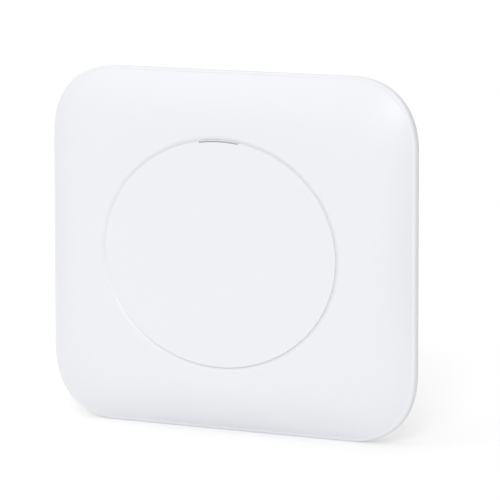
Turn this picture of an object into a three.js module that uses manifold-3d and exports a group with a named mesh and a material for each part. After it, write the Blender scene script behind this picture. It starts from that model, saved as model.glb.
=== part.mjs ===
// Ceiling access point: a wide, shallow radio unit that turns onto a bayonet bracket.
//
// Everything is drawn in the device frame: x to the right and y up as one faces the cover, z out of the
// mounting surface towards the room, all in millimetres. The group at the end turns that frame upright,
// so that the mounting surface is the plane y = 0 and the cover faces -y, as on a wall.

import * as THREE from "three";
import { mergeVertices } from "three/addons/utils/BufferGeometryUtils.js";
import Module from "manifold-3d";

const wasm = await Module();
wasm.setup();

// ---------------------------------------------------------------- driving dimensions

const WIDTH = 205.5;
const HEIGHT = 181.5;
const THICKNESS = 37.1;
const CORNER_RADIUS = 37.6; // of the widest outline
const CORNER_POWER = 2.33; // 2 is a round corner, more is squarer
const WALL = 2.0; // both housings
const CONTACT = 0.3; // gap left between two pieces that bear on each other
const RUNNING = 0.4; // gap beside a piece that moves
const OVERCUT = 1.0; // how far a cutting solid reaches past the surface that it cuts
const JOIN = 0.5; // how deep two joined solids go into each other

// Front cover
const RIM_BAND = 2.7; // straight side of the cover
const RIM_ROUND = 1.6; // its front edge
const DOME_RISE = 12.0; // from that edge to the groove
const DOME_POWER = 2.6; // how late the dome flattens
const CROWN = 0.5; // of the area inside the groove
const GROOVE_HALF_WIDTH = 65.9;
const GROOVE_HALF_HEIGHT = 57.7;
const GROOVE_WIDTH = 2.2;
const GROOVE_FLOOR = 0.8;
const GROOVE_DEPTH = 1.0;

// Light guide in the groove
const LIGHT_LENGTH = 21.5;
const LIGHT_WIDTH = 1.0;
const LIGHT_RECESS = 0.5; // its face below the groove's edge
const LIGHT_WALL = 5.5; // how deep the thin blade runs before it thickens
const LIGHT_CHANNEL = 2.4;
const LIGHT_CHANNEL_WIDTH = 6.0;
const LED_SIZE = 2.0;
const LED_HEIGHT = 0.8;
const LED_INSET = 3.5; // from the board's upper edge

// Rear housing
const BACK_INSET = 21.0; // how far the flat back is inside the widest outline
const BACK_CORNER = 27.0;
const SIDE_POWER = 1.55; // shape of the sloping side
const LIP_HEIGHT = 2.5; // skirt around the bracket, behind the flat back
const SEAM = 0.3; // between the housings
const SEAM_INSET = 0.9; // how far the housing steps in behind the cover's band
const TONGUE_THICKNESS = 1.2;
const VENT_WIDTH = 2.0;
const VENT_LENGTH = 12.0;
const VENT_PITCH = 4.6;
const VENT_EDGE = 7.5; // from the vents' outer ends to the lip
const LOCK_SLOT_LENGTH = 7.0;
const LOCK_SLOT_HEIGHT = 3.0;
const LABEL_WIDTH = 34.0;
const LABEL_HEIGHT = 12.0;
const LABEL_THICKNESS = 0.3;
const LABEL_POCKET = 0.6;

// Screws between the housings
const BOSS_RADIUS = 4.2;
const BOSS_INSET = 15.0; // from the flat back's outline
const HEAD_RADIUS = 2.75;
const HEAD_HEIGHT = 1.9;
const SHANK_RADIUS = 1.4;
const COVER_SCREW_LENGTH = 10.0;
const SHELF_DEPTH = 7.0; // from the flat back to the seat of the screw head
const SHELF_THICKNESS = 2.5;
const COVER_POST_STEP = 0.8; // how much thinner the cover's posts are than the housing's

// Bracket
const PLATE_THICKNESS = 2.5;
const PLATE_EDGE_GAP = 6.5; // from the bracket to the lip's inside
const PLATE_FLAT = 18.25; // its straight top and bottom inside the circle
const FLOAT_GAP = 1.5; // between the bracket and the flat back
const STUD_EDGE = 9.5; // studs inside the plate's edge
const STUD_ANGLE = 20; // degrees from the horizontal
const STUD_NECK = 2.5;
const STUD_HEAD = 4.5;
const STUD_HEAD_THICKNESS = 2.0;
const TWIST = 15; // degrees
const SCREW_HOLE = 1.95; // half the width of the mounting slots and holes
const SCREW_SLOT_LENGTH = 9.0;
const BOX_SCREW_SPACING = 60.0; // standard junction box
const WALL_SCREW_EDGE = 15.5; // the four plain holes inside the plate's edge
const WALL_SCREW_ANGLE = 31.6; // degrees from the horizontal
const THROAT_SIDE = 1.5; // the cable throat beyond the bay's walls, and past its top
const THROAT_TOP = 8.0;
const LATCH_EDGE = 4.0; // from the arm to the plate's straight top
const LATCH_LENGTH = 26.0;
const LATCH_WIDTH = 7.0;
const LATCH_THICKNESS = 1.5;
const LATCH_GAP = 0.8;
const LATCH_BUMP = 1.1;
const LATCH_BUMP_RADIUS = 2.0;
const LATCH_BUMP_EDGE = 1.0; // from the arm's tip

// Circuit board and what it carries
const BOARD_THICKNESS = 1.6;
const BOARD_GAP = 1.5; // from the board's edge to the housing bosses
const STANDOFF_RADIUS = 3.5;
const STANDOFF_INSET = 5.5;
const BOARD_SCREW_LENGTH = 6.0;
const BOARD_SCREW_HEAD = 1.6;
const PORT_CLEARANCE = 3.0; // jack body below the flat back's inner face
const PORT_GAP = 1.4; // between neighbouring ports

const JACK_WIDTH = 16.0;
const JACK_HEIGHT = 13.4;
const JACK_LENGTH = 21.0;
const SOCKET_WIDTH = 11.9;
const SOCKET_HEIGHT = 6.9;
const SOCKET_DEPTH = 13.0;
const SOCKET_SILL = 3.1; // plastic below the socket
const LATCH_SLOT_WIDTH = 6.2;
const LATCH_SLOT_HEIGHT = 1.5;
const LATCH_SLOT_END = 1.0; // how much shorter than the socket it is
const CONTACT_COUNT = 8;
const CONTACT_PITCH = 1.02;
const CONTACT_SIZE = 0.45;
const CONTACT_LENGTH = 7.0;
const CARRIER_LENGTH = 2.0; // the moulded comb that holds the contacts
const CARRIER_HEIGHT = 1.6;
const CARRIER_MARGIN = 0.5;

const POWER_WIDTH = 9.0;
const POWER_HEIGHT = 11.0;
const POWER_LENGTH = 14.2;
const POWER_BORE = 3.2;
const POWER_BORE_DEPTH = 9.5;
const POWER_PIN = 1.0;

const SWITCH_WIDTH = 6.0;
const SWITCH_HEIGHT = 5.0;
const SWITCH_LENGTH = 4.0;
const SWITCH_WALL = 0.8;
const SWITCH_GAP = 1.5; // from the bay's wall
const RESET_RADIUS = 1.1;
const RESET_LENGTH = 5.4;
const RESET_TRAVEL = 0.5;
const RESET_HOLE = 1.5;

const BAY_SIDE = 2.0; // from the outer ports to the bay's walls
const BAY_WALL = 2.0;
const BAY_TOP = -30.0; // y of the wall that holds the ports
const BAY_END_INSET = 12.75; // the bay's far end inside the widest outline
const CABLE_NOTCH_WIDTH = 24.0;
const CABLE_NOTCH_HEIGHT = 9.0;

const SHIELD_HEIGHT = 3.0;
const SHIELD_WALL = 0.4;
const SHIELD_GAP = 4.2; // between the upper and the lower row
const SHIELD_ROW = -3.4; // y of that gap's middle
const SHIELD_SPLIT = 11.7; // from the middle to each radio's shield
const SHIELD_SIDE = 9.3; // from the board's side
const SHIELD_TOP_EDGE = 18.4; // from the board's upper edge
const SHIELD_LOW_EDGE = 13.4; // from its lower edge
const PROCESSOR_WIDTH = 36.0;
const PAD_THICKNESS = 1.5;
const PAD_MARGIN = 5.0;
const SPREADER_THICKNESS = 1.5;
const SPREADER_MARGIN = 5.0;
const SPREADER_NOTCH_GAP = 4.0; // round the light guide
const SPREADER_SCREW_GAP = 1.5; // round the board's screw heads
const FOOT_WIDTH = 10.0;
const CHIP_SIZE = 12.0;
const CHIP_HEIGHT = 1.3;

// Parts on the board's ceiling side
const LINE_TRANSFORMER_WIDTH = 14.0;
const LINE_TRANSFORMER_HEIGHT = 12.0;
const LINE_TRANSFORMER_DEPTH = 6.0;
const LINE_TRANSFORMER_GAP = 3.0; // behind the jacks
const CONVERTER_EDGE = 10.0; // from the board's upper edge
const CONVERTER_GAP = 5.0; // between its parts
const CORE_X = -16.0;
const CORE_WIDTH = 18.0;
const CORE_HEIGHT = 16.0;
const CORE_DEPTH = 11.0;
const INDUCTOR_SIZE = 10.0;
const INDUCTOR_DEPTH = 5.0;
const CAPACITOR_RADIUS = 5.0;
const CAPACITOR_LENGTH = 12.0;
const CAPACITOR_GAP = 2.0;

// Antennas
const ANTENNA_LENGTH = 36.0;
const ANTENNA_HEIGHT = 14.0;
const ANTENNA_THICKNESS = 1.0;
const ANTENNA_EDGE = 5.5; // from the flat back's outline
const CLIP_WIDTH = 3.6;
const CLIP_HEIGHT = 7.0;
const COAX_RADIUS = 0.6;
const PLUG_RADIUS = 1.3;
const PLUG_HEIGHT = 1.2;
const PLUG_SIDE = 9.0; // the least from a plug to the board's sides and lower edge
const PLUG_TOP = 5.0; // and to its upper edge
const PLUG_DROP = 8.0; // how much lower than its antenna a plug is
const LEAD_START = 0.75; // where a lead leaves its antenna, as a share of the board's height
const LEAD_OUTSIDE = 2.5; // how far past the board's edge it runs
const LEAD_ARCH = 1.5; // how high it rises over the board
const LEAD_LIFT = 0.4; // how much higher than the plug's middle it ends

const CORNER_STEPS = 8; // segments in one corner of an outline
const SIDE_STEPS = 6; // segments along one side
const ROUND = 24; // segments of a small round piece
const FINE_ROUND = 20; // and of smaller and smaller ones
const SMALL_ROUND = 16;
const TINY_ROUND = 12;
const ARC_STEPS = 12; // segments along the light slot
const RIM_FACET = 0.3; // where the rounded front edge's two facets meet, as a share of it
const DOME_SHARES = [0, 0.08, 0.18, 0.3, 0.45, 0.65, 1]; // of the way from the rim to the groove
const INNER_DOME_SHARES = [0, 0.15, 0.35, 0.6, 1];
const CROWN_SHARES = [1, 0.7, 0.35, 0.1]; // of the way from the middle to the groove

// ---------------------------------------------------------------- levels along z

const FLAT_BACK = PLATE_THICKNESS + FLOAT_GAP;
const FLOOR = FLAT_BACK + WALL; // inner face of the flat back
const LIP_BACK = FLAT_BACK - LIP_HEIGHT;
const GROOVE_LEVEL = THICKNESS - CROWN;
const RIM_FRONT = GROOVE_LEVEL - DOME_RISE;
const RIM_BACK = RIM_FRONT - RIM_ROUND - RIM_BAND;
const SIDE_TOP = RIM_BACK - SEAM;
const BOARD_BACK = FLOOR + PORT_CLEARANCE + JACK_HEIGHT + CONTACT;
const BOARD_FRONT = BOARD_BACK + BOARD_THICKNESS;
const SHIELD_TOP = BOARD_FRONT + CONTACT + SHIELD_HEIGHT;
const PAD_TOP = SHIELD_TOP + CONTACT + PAD_THICKNESS;
const SPREADER_BACK = PAD_TOP + CONTACT;
const SHELF = FLAT_BACK + SHELF_DEPTH; // the screw heads' seats

// ---------------------------------------------------------------- places across the unit

const BACK_HALF_WIDTH = WIDTH / 2 - BACK_INSET;
const BACK_HALF_HEIGHT = HEIGHT / 2 - BACK_INSET;
const BOSS_X = BACK_HALF_WIDTH - BOSS_INSET;
const BOSS_Y = BACK_HALF_HEIGHT - BOSS_INSET;
const BOARD_HALF_WIDTH = BOSS_X - BOSS_RADIUS - BOARD_GAP;
const BOARD_HALF_HEIGHT = BOSS_Y - BOSS_RADIUS - BOARD_GAP;
const STANDOFF_X = BOARD_HALF_WIDTH - STANDOFF_INSET;
const STANDOFF_Y = BOARD_HALF_HEIGHT - STANDOFF_INSET;
const PLATE_RADIUS = BACK_HALF_HEIGHT - WALL - PLATE_EDGE_GAP;
const PLATE_HALF_HEIGHT = PLATE_RADIUS - PLATE_FLAT;
const STUD_CIRCLE = PLATE_RADIUS - STUD_EDGE;
const JACK_BACK = BOARD_BACK - CONTACT - JACK_HEIGHT; // the jack's side nearest the ceiling
const PORTS_WIDTH = 2 * JACK_WIDTH + POWER_WIDTH + SWITCH_WIDTH + 3 * PORT_GAP;
const JACK_X = [
  -PORTS_WIDTH / 2 + JACK_WIDTH / 2,
  -PORTS_WIDTH / 2 + JACK_WIDTH * 1.5 + PORT_GAP,
];
const POWER_X = JACK_X[1] + JACK_WIDTH / 2 + PORT_GAP + POWER_WIDTH / 2;
const SWITCH_X = POWER_X + POWER_WIDTH / 2 + PORT_GAP + SWITCH_WIDTH / 2;
const PORT_FACE = BAY_TOP + CONTACT;
const BAY_HALF_WIDTH = PORTS_WIDTH / 2 + BAY_SIDE;
const BAY_ROOF = BOARD_BACK - CONTACT - BAY_WALL;

const rad = THREE.MathUtils.degToRad;

// ---------------------------------------------------------------- materials

const plastic = (color, roughness = 0.5) =>
  new THREE.MeshStandardMaterial({ color, roughness, metalness: 0 });
const metal = (color, roughness = 0.35) =>
  new THREE.MeshStandardMaterial({ color, roughness, metalness: 1 });

const WHITE_COVER = plastic(0xf3f4f7, 0.42);
const WHITE_HOUSING = plastic(0xeceef1, 0.5);
const BRACKET_GREY = plastic(0xd8dade, 0.55);
const LIGHT_GREY = plastic(0x9b9ba6, 0.3);
const LED_YELLOW = plastic(0xf1e9b0, 0.3);
const BOARD_GREEN = plastic(0x1f5a3a, 0.45);
const BLACK_PLASTIC = plastic(0x1c1d20, 0.5);
const PAD_BLUE = plastic(0x8fa6c4, 0.8);
const LABEL_SILVER = plastic(0xd5d7da, 0.4);
const TIN = metal(0xc3c6c9, 0.35);
const ALUMINIUM = metal(0xb9bcc0, 0.45);
const GOLD = metal(0xd8ad4f, 0.25);
const SCREW_STEEL = metal(0x8e9196, 0.35);
const CORE_GREY = plastic(0x4a4b50, 0.6);
const SLEEVE_BLUE = plastic(0x2a3f78, 0.35);

// ---------------------------------------------------------------- solids

function solidOf(geometry) {
  const bare = geometry.index ? geometry.toNonIndexed() : geometry.clone();
  bare.deleteAttribute("normal");
  bare.deleteAttribute("uv");
  const merged = mergeVertices(bare, 1e-4);
  return new wasm.Manifold(
    new wasm.Mesh({
      numProp: 3,
      vertProperties: merged.attributes.position.array,
      triVerts: new Uint32Array(merged.index.array),
    }),
  );
}

function geometryOf(solid) {
  const mesh = solid.getMesh();
  const geometry = new THREE.BufferGeometry();
  geometry.setAttribute("position", new THREE.BufferAttribute(mesh.vertProperties, 3));
  geometry.setIndex(new THREE.BufferAttribute(mesh.triVerts, 1));
  return geometry;
}

const join = (first, ...others) => others.reduce((sum, s) => sum.add(s), first);
const cut = (first, ...others) => others.reduce((sum, s) => sum.subtract(s), first);

// A box from its lowest to its highest corner.
function box(x0, y0, z0, x1, y1, z1) {
  const g = new THREE.BoxGeometry(x1 - x0, y1 - y0, z1 - z0);
  return solidOf(g.translate((x0 + x1) / 2, (y0 + y1) / 2, (z0 + z1) / 2));
}

// A box on a centre line: centred on x and y, from z0 to z1.
const block = (x, y, width, height, z0, z1) =>
  box(x - width / 2, y - height / 2, z0, x + width / 2, y + height / 2, z1);

// A cylinder along z.
function post(x, y, radius, z0, z1, segments = ROUND) {
  const g = new THREE.CylinderGeometry(radius, radius, z1 - z0, segments);
  return solidOf(g.rotateX(Math.PI / 2).translate(x, y, (z0 + z1) / 2));
}

// A cylinder along y.
function rod(x, z, radius, y0, y1, segments = ROUND) {
  const g = new THREE.CylinderGeometry(radius, radius, y1 - y0, segments);
  return solidOf(g.translate(x, (y0 + y1) / 2, z));
}

// A flat outline in x and y, as a plate from z0 to z1.
function plate(points, z0, z1) {
  const shape = new THREE.Shape(points.map(([x, y]) => new THREE.Vector2(x, y)));
  const g = new THREE.ExtrudeGeometry(shape, { depth: z1 - z0, bevelEnabled: false });
  return solidOf(g.translate(0, 0, z0));
}

// A slot with round ends along x.
function slot(x, y, length, radius, z0, z1) {
  const reach = length / 2 - radius;
  return join(
    block(x, y, 2 * reach, 2 * radius, z0, z1),
    post(x - reach, y, radius, z0, z1, 16),
    post(x + reach, y, radius, z0, z1, 16),
  );
}

// A closed skin through rings of equal point counts, capped flat at both ends.
// The rings run so that the solid lies on the left of their path.
function loft(rings) {
  const count = rings[0].length;
  const corners = rings.flat().map((p) => new THREE.Vector3(...p));
  const index = [];
  for (let k = 0; k + 1 < rings.length; k++) {
    for (let i = 0; i < count; i++) {
      const a = k * count + i;
      const b = k * count + ((i + 1) % count);
      index.push(a, b, b + count, a, b + count, a + count);
    }
  }
  const last = (rings.length - 1) * count;
  for (let i = 1; i + 1 < count; i++) {
    index.push(0, i + 1, i);
    index.push(last, last + i, last + i + 1);
  }
  const g = new THREE.BufferGeometry().setFromPoints(corners);
  g.setIndex(index);
  return solidOf(g);
}

// ---------------------------------------------------------------- outlines

// Points round a rectangle with superellipse corners, anticlockwise from the right-hand side.
function roundedOutline(halfWidth, halfHeight, radius) {
  const points = [];
  const power = 2 / CORNER_POWER;
  const reachX = halfWidth - radius;
  const reachY = halfHeight - radius;
  for (let quarter = 0; quarter < 4; quarter++) {
    const start = quarter * 90;
    const signX = quarter === 0 || quarter === 3 ? 1 : -1;
    const signY = quarter < 2 ? 1 : -1;
    for (let i = 0; i <= CORNER_STEPS; i++) {
      const angle = rad(start + (90 * i) / CORNER_STEPS);
      const c = Math.abs(Math.cos(angle)) ** power;
      const s = Math.abs(Math.sin(angle)) ** power;
      points.push([signX * (reachX + radius * c), signY * (reachY + radius * s)]);
    }
    const side = quarter % 2 === 0 ? [-2 * signX * reachX, 0] : [0, -2 * signY * reachY];
    const [x, y] = points.at(-1);
    for (let i = 1; i < SIDE_STEPS; i++) {
      points.push([x + (side[0] * i) / SIDE_STEPS, y + (side[1] * i) / SIDE_STEPS]);
    }
  }
  return points;
}

const atLevel = (points, z) => points.map(([x, y]) => [x, y, z]);

// The widest outline, moved in evenly.
const rimOutline = (inset) =>
  roundedOutline(WIDTH / 2 - inset, HEIGHT / 2 - inset, CORNER_RADIUS - inset);

// The groove's oval, moved out by `offset`, with one point for each point of the rim.
function ovalOutline(offset) {
  return rimOutline(0).map(([x, y]) => {
    const angle = Math.atan2(y / HEIGHT, x / WIDTH);
    return [
      (GROOVE_HALF_WIDTH + offset) * Math.cos(angle),
      (GROOVE_HALF_HEIGHT + offset) * Math.sin(angle),
    ];
  });
}

// An outline part of the way from one to another.
const between = (from, to, share) =>
  from.map(([x, y], i) => [x + (to[i][0] - x) * share, y + (to[i][1] - y) * share]);

// Points along the groove's oval, either side of the top.
function topArc(offset, halfLength, steps) {
  const a = GROOVE_HALF_WIDTH + offset;
  const b = GROOVE_HALF_HEIGHT + offset;
  return Array.from({ length: steps + 1 }, (_, i) => {
    const x = halfLength * (1 - (2 * i) / steps);
    return [x, b * Math.sqrt(1 - (x / a) ** 2)];
  });
}

// A thin wall that follows the groove at its top.
const arcBlade = (inner, outer, halfLength, z0, z1) =>
  plate(
    [...topArc(outer, halfLength, ARC_STEPS), ...topArc(inner, halfLength, ARC_STEPS).reverse()],
    z0,
    z1,
  );

// ---------------------------------------------------------------- front cover

// The dome's skin from the rim to the groove, `down` behind the outer face.
function domeRings(down, shares) {
  const rim = rimOutline(RIM_ROUND + down);
  const oval = ovalOutline(GROOVE_WIDTH / 2);
  return shares.map((share) =>
    atLevel(
      between(rim, oval, share),
      RIM_FRONT + DOME_RISE * (1 - (1 - share) ** DOME_POWER) - down,
    ),
  );
}

function coverSkin() {
  const groove = (offset, depth) => atLevel(ovalOutline(offset), GROOVE_LEVEL - depth);
  const face = (share) =>
    atLevel(
      ovalOutline(-GROOVE_WIDTH / 2).map(([x, y]) => [x * share, y * share]),
      GROOVE_LEVEL + CROWN * (1 - share ** 2),
    );
  return loft([
    atLevel(rimOutline(0), RIM_BACK),
    atLevel(rimOutline(0), RIM_BACK + RIM_BAND),
    atLevel(rimOutline(RIM_ROUND * RIM_FACET), RIM_FRONT - RIM_ROUND * RIM_FACET),
    ...domeRings(0, DOME_SHARES),
    groove(GROOVE_FLOOR / 2, GROOVE_DEPTH),
    groove(-GROOVE_FLOOR / 2, GROOVE_DEPTH),
    ...CROWN_SHARES.map(face),
  ]);
}

function coverHollow() {
  return loft([
    atLevel(rimOutline(WALL), RIM_BACK - OVERCUT),
    atLevel(rimOutline(WALL), RIM_BACK + RIM_BAND - WALL / 2),
    ...domeRings(WALL, INNER_DOME_SHARES),
  ]);
}

// The four screw places in the corners, shared by both housings.
const bossPlaces = [-1, 1].flatMap((sx) => [-1, 1].map((sy) => [sx * BOSS_X, sy * BOSS_Y]));

const LIGHT_OFFSET = -GROOVE_FLOOR / 2 - LIGHT_WIDTH / 2; // the blade hugs the groove's inner wall

function frontCover() {
  const skin = coverSkin();
  const bossEnd = SHELF + SHELF_THICKNESS + CONTACT;
  const bosses = bossPlaces.map(([x, y]) =>
    post(x, y, BOSS_RADIUS - COVER_POST_STEP, bossEnd, THICKNESS, ROUND).intersect(
      join(skin, block(0, 0, WIDTH, HEIGHT, bossEnd - OVERCUT, RIM_BACK + OVERCUT)),
    ),
  );
  const pilots = bossPlaces.map(([x, y]) =>
    post(x, y, SHANK_RADIUS + CONTACT / 2, bossEnd - OVERCUT, SHELF + COVER_SCREW_LENGTH + OVERCUT),
  );
  const lightSlot = arcBlade(
    LIGHT_OFFSET - LIGHT_WIDTH / 2 - CONTACT / 2,
    LIGHT_OFFSET + LIGHT_WIDTH / 2 + CONTACT / 2,
    LIGHT_LENGTH / 2 + CONTACT / 2,
    GROOVE_LEVEL - 2 * WALL,
    THICKNESS + OVERCUT,
  );
  return cut(join(cut(skin, coverHollow()), ...bosses), ...pilots, lightSlot);
}

// ---------------------------------------------------------------- light guide

const LED_Y = BOARD_HALF_HEIGHT - LED_INSET;
const LED_TOP = BOARD_FRONT + CONTACT + LED_HEIGHT;
const BLADE_Y = GROOVE_HALF_HEIGHT + LIGHT_OFFSET; // the blade's middle
const FOOT_HALF = LIGHT_CHANNEL_WIDTH / 4; // of the guide's foot over the lamp, along y
const CHANNEL_Y = [
  Math.min(LED_Y - FOOT_HALF, BLADE_Y - LIGHT_WIDTH / 2),
  Math.max(LED_Y + FOOT_HALF, BLADE_Y + LIGHT_WIDTH / 2),
];

function lightGuide() {
  const inner = LIGHT_OFFSET - LIGHT_WIDTH / 2;
  const outer = LIGHT_OFFSET + LIGHT_WIDTH / 2;
  const top = GROOVE_LEVEL - LIGHT_RECESS;
  const channelTop = top - LIGHT_WALL;
  const half = LIGHT_CHANNEL_WIDTH / 2;
  return join(
    arcBlade(inner, outer, LIGHT_LENGTH / 2, channelTop - LIGHT_CHANNEL / 2, top),
    box(-half, CHANNEL_Y[0], channelTop - LIGHT_CHANNEL, half, CHANNEL_Y[1], channelTop),
    box(-half, LED_Y - FOOT_HALF, LED_TOP + CONTACT, half, LED_Y + FOOT_HALF, channelTop),
  );
}

// ---------------------------------------------------------------- rear housing

// The sloping side's outline at a share of its height, 0 at the back and 1 at the seam.
function sideRing(share, inward) {
  const back = roundedOutline(
    BACK_HALF_WIDTH - inward,
    BACK_HALF_HEIGHT - inward,
    BACK_CORNER - inward,
  );
  const seam = rimOutline(SEAM_INSET + inward);
  const level = LIP_BACK + (SIDE_TOP - LIP_BACK) * share;
  return atLevel(between(seam, back, (1 - share) ** SIDE_POWER), level);
}

const SIDE_SHARES = [0, 0.12, 0.27, 0.45, 0.7, 1];

function housingSkin() {
  return loft(SIDE_SHARES.map((share) => sideRing(share, 0)));
}

// Everything in front of the flat back's inner face, inside the walls.
function housingHollow() {
  const skin = loft([
    ...SIDE_SHARES.map((share) => sideRing(share, WALL)),
    atLevel(rimOutline(SEAM_INSET + WALL), SIDE_TOP + OVERCUT),
  ]);
  return cut(skin, block(0, 0, WIDTH, HEIGHT, -1, FLOOR));
}

// A low wall that stands inside the cover's band and keeps the two in line.
function seamTongue() {
  const outer = WALL + CONTACT;
  const top = RIM_BACK + RIM_BAND - WALL / 2 - CONTACT;
  const wall = (inset, z0, z1) =>
    loft([atLevel(rimOutline(inset), z0), atLevel(rimOutline(inset), z1)]);
  return cut(
    wall(outer, SIDE_TOP - WALL, top),
    wall(outer + TONGUE_THICKNESS, SIDE_TOP - WALL - OVERCUT, top + OVERCUT),
  );
}

// A slot along a circle about the axis, with round ends.
function arcSlot(radius, halfWidth, fromDegrees, toDegrees, z0, z1) {
  const steps = 6;
  const arc = (r) =>
    Array.from({ length: steps + 1 }, (_, i) => {
      const a = rad(fromDegrees + ((toDegrees - fromDegrees) * i) / steps);
      return [r * Math.cos(a), r * Math.sin(a)];
    });
  const end = (degrees) =>
    post(radius * Math.cos(rad(degrees)), radius * Math.sin(rad(degrees)), halfWidth, z0, z1);
  return join(
    plate([...arc(radius + halfWidth), ...arc(radius - halfWidth).reverse()], z0, z1),
    end(fromDegrees),
    end(toDegrees),
  );
}

const THROUGH_BACK = [FLAT_BACK - OVERCUT, FLOOR + OVERCUT]; // levels of a cut through the flat back
const studAngles = [STUD_ANGLE, -STUD_ANGLE, 180 - STUD_ANGLE, 180 + STUD_ANGLE];

// Keyholes for the bracket's studs: a slot they rest in and a hole they enter by.
function keyholes() {
  return studAngles.flatMap((angle) => {
    const entry = rad(angle - TWIST);
    return [
      arcSlot(STUD_CIRCLE, STUD_NECK + RUNNING, angle - TWIST, angle, ...THROUGH_BACK),
      post(
        STUD_CIRCLE * Math.cos(entry),
        STUD_CIRCLE * Math.sin(entry),
        STUD_HEAD + RUNNING,
        ...THROUGH_BACK,
      ),
    ];
  });
}

// Vents on one side of the middle, from x = start out to the screw boss.
function ventBank(side, start, y) {
  const count = Math.floor((BOSS_X - BOSS_RADIUS - start) / VENT_PITCH);
  return Array.from({ length: count }, (_, i) =>
    block(side * (start + i * VENT_PITCH), y, VENT_WIDTH, VENT_LENGTH, ...THROUGH_BACK),
  );
}

const VENT_Y = BACK_HALF_HEIGHT - WALL - VENT_EDGE - VENT_LENGTH / 2;
const TOP_VENT_X = LABEL_WIDTH / 2 + VENT_PITCH;
const LOW_VENT_X = BAY_HALF_WIDTH + BAY_WALL + VENT_PITCH;

const ANTENNA_X = ANTENNA_LENGTH * 0.75; // of the upper two
const antennaPlaces = [
  { name: "upper_left", x: -ANTENNA_X, y: BACK_HALF_HEIGHT - ANTENNA_EDGE, turned: false },
  { name: "upper_right", x: ANTENNA_X, y: BACK_HALF_HEIGHT - ANTENNA_EDGE, turned: false },
  { name: "left", x: -BACK_HALF_WIDTH + ANTENNA_EDGE, y: 0, turned: true },
  { name: "right", x: BACK_HALF_WIDTH - ANTENNA_EDGE, y: 0, turned: true },
];

// A block at an antenna's place, `along` its length and `across` it, shifted along it by `shift`.
function antennaBlock(place, shift, along, across, z0, z1) {
  return place.turned
    ? block(place.x, place.y + shift, across, along, z0, z1)
    : block(place.x + shift, place.y, along, across, z0, z1);
}

// Two slotted posts that hold an antenna's ends.
function antennaClips(place) {
  const reach = ANTENNA_LENGTH / 2 - CLIP_WIDTH / 2;
  const across = ANTENNA_THICKNESS + 2 * CONTACT + 2 * WALL;
  const slotWidth = ANTENNA_THICKNESS + 2 * CONTACT;
  const clipTop = FLOOR + CLIP_HEIGHT;
  return [-1, 1].map((side) =>
    cut(
      antennaBlock(place, side * reach, CLIP_WIDTH, across, FLOOR - JOIN, clipTop),
      antennaBlock(place, side * reach, CLIP_WIDTH + OVERCUT, slotWidth, FLOOR, clipTop + OVERCUT),
    ),
  );
}

const standoffPlaces = [-1, 1].flatMap((sx) =>
  [-1, 1].map((sy) => [sx * STANDOFF_X, sy * STANDOFF_Y]),
);

function rearHousing() {
  const skin = housingSkin();
  const hollow = housingHollow();
  const bay = portBay(skin, hollow);
  const shell = cut(skin, hollow, tray());
  const bosses = bossPlaces.map(([x, y]) =>
    post(x, y, BOSS_RADIUS, FLAT_BACK, SHELF + SHELF_THICKNESS),
  );
  const standoffs = standoffPlaces.map(([x, y]) =>
    post(x, y, STANDOFF_RADIUS, FLAT_BACK, BOARD_BACK - CONTACT),
  );
  const screwPassages = bossPlaces.flatMap(([x, y]) => [
    post(x, y, HEAD_RADIUS + CONTACT, LIP_BACK - OVERCUT, SHELF),
    post(x, y, SHANK_RADIUS + CONTACT, SHELF - OVERCUT, SHELF + SHELF_THICKNESS + OVERCUT),
  ]);
  const boardPilots = standoffPlaces.map(([x, y]) =>
    post(x, y, SHANK_RADIUS + CONTACT / 2, BOARD_FRONT - BOARD_SCREW_LENGTH - OVERCUT, BOARD_FRONT),
  );
  const lockSlot = box(
    WIDTH / 2 - BACK_INSET,
    -LOCK_SLOT_LENGTH / 2,
    SIDE_TOP - 2 * LOCK_SLOT_HEIGHT,
    WIDTH / 2 + OVERCUT,
    LOCK_SLOT_LENGTH / 2,
    SIDE_TOP - LOCK_SLOT_HEIGHT,
  );
  const labelPocket = block(
    0,
    VENT_Y,
    LABEL_WIDTH + 2 * CONTACT,
    LABEL_HEIGHT + 2 * CONTACT,
    FLAT_BACK - OVERCUT,
    FLAT_BACK + LABEL_POCKET,
  );
  return cut(
    join(
      shell,
      seamTongue(),
      ...bosses,
      ...standoffs,
      bay.walls,
      ...antennaPlaces.flatMap(antennaClips),
    ),
    bay.spaces,
    ...screwPassages,
    ...boardPilots,
    ...portCutouts(),
    ...keyholes(),
    ...[-1, 1].flatMap((side) => [
      ...ventBank(side, TOP_VENT_X, VENT_Y),
      ...ventBank(side, LOW_VENT_X, -VENT_Y),
    ]),
    lockSlot,
    labelPocket,
  );
}

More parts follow.
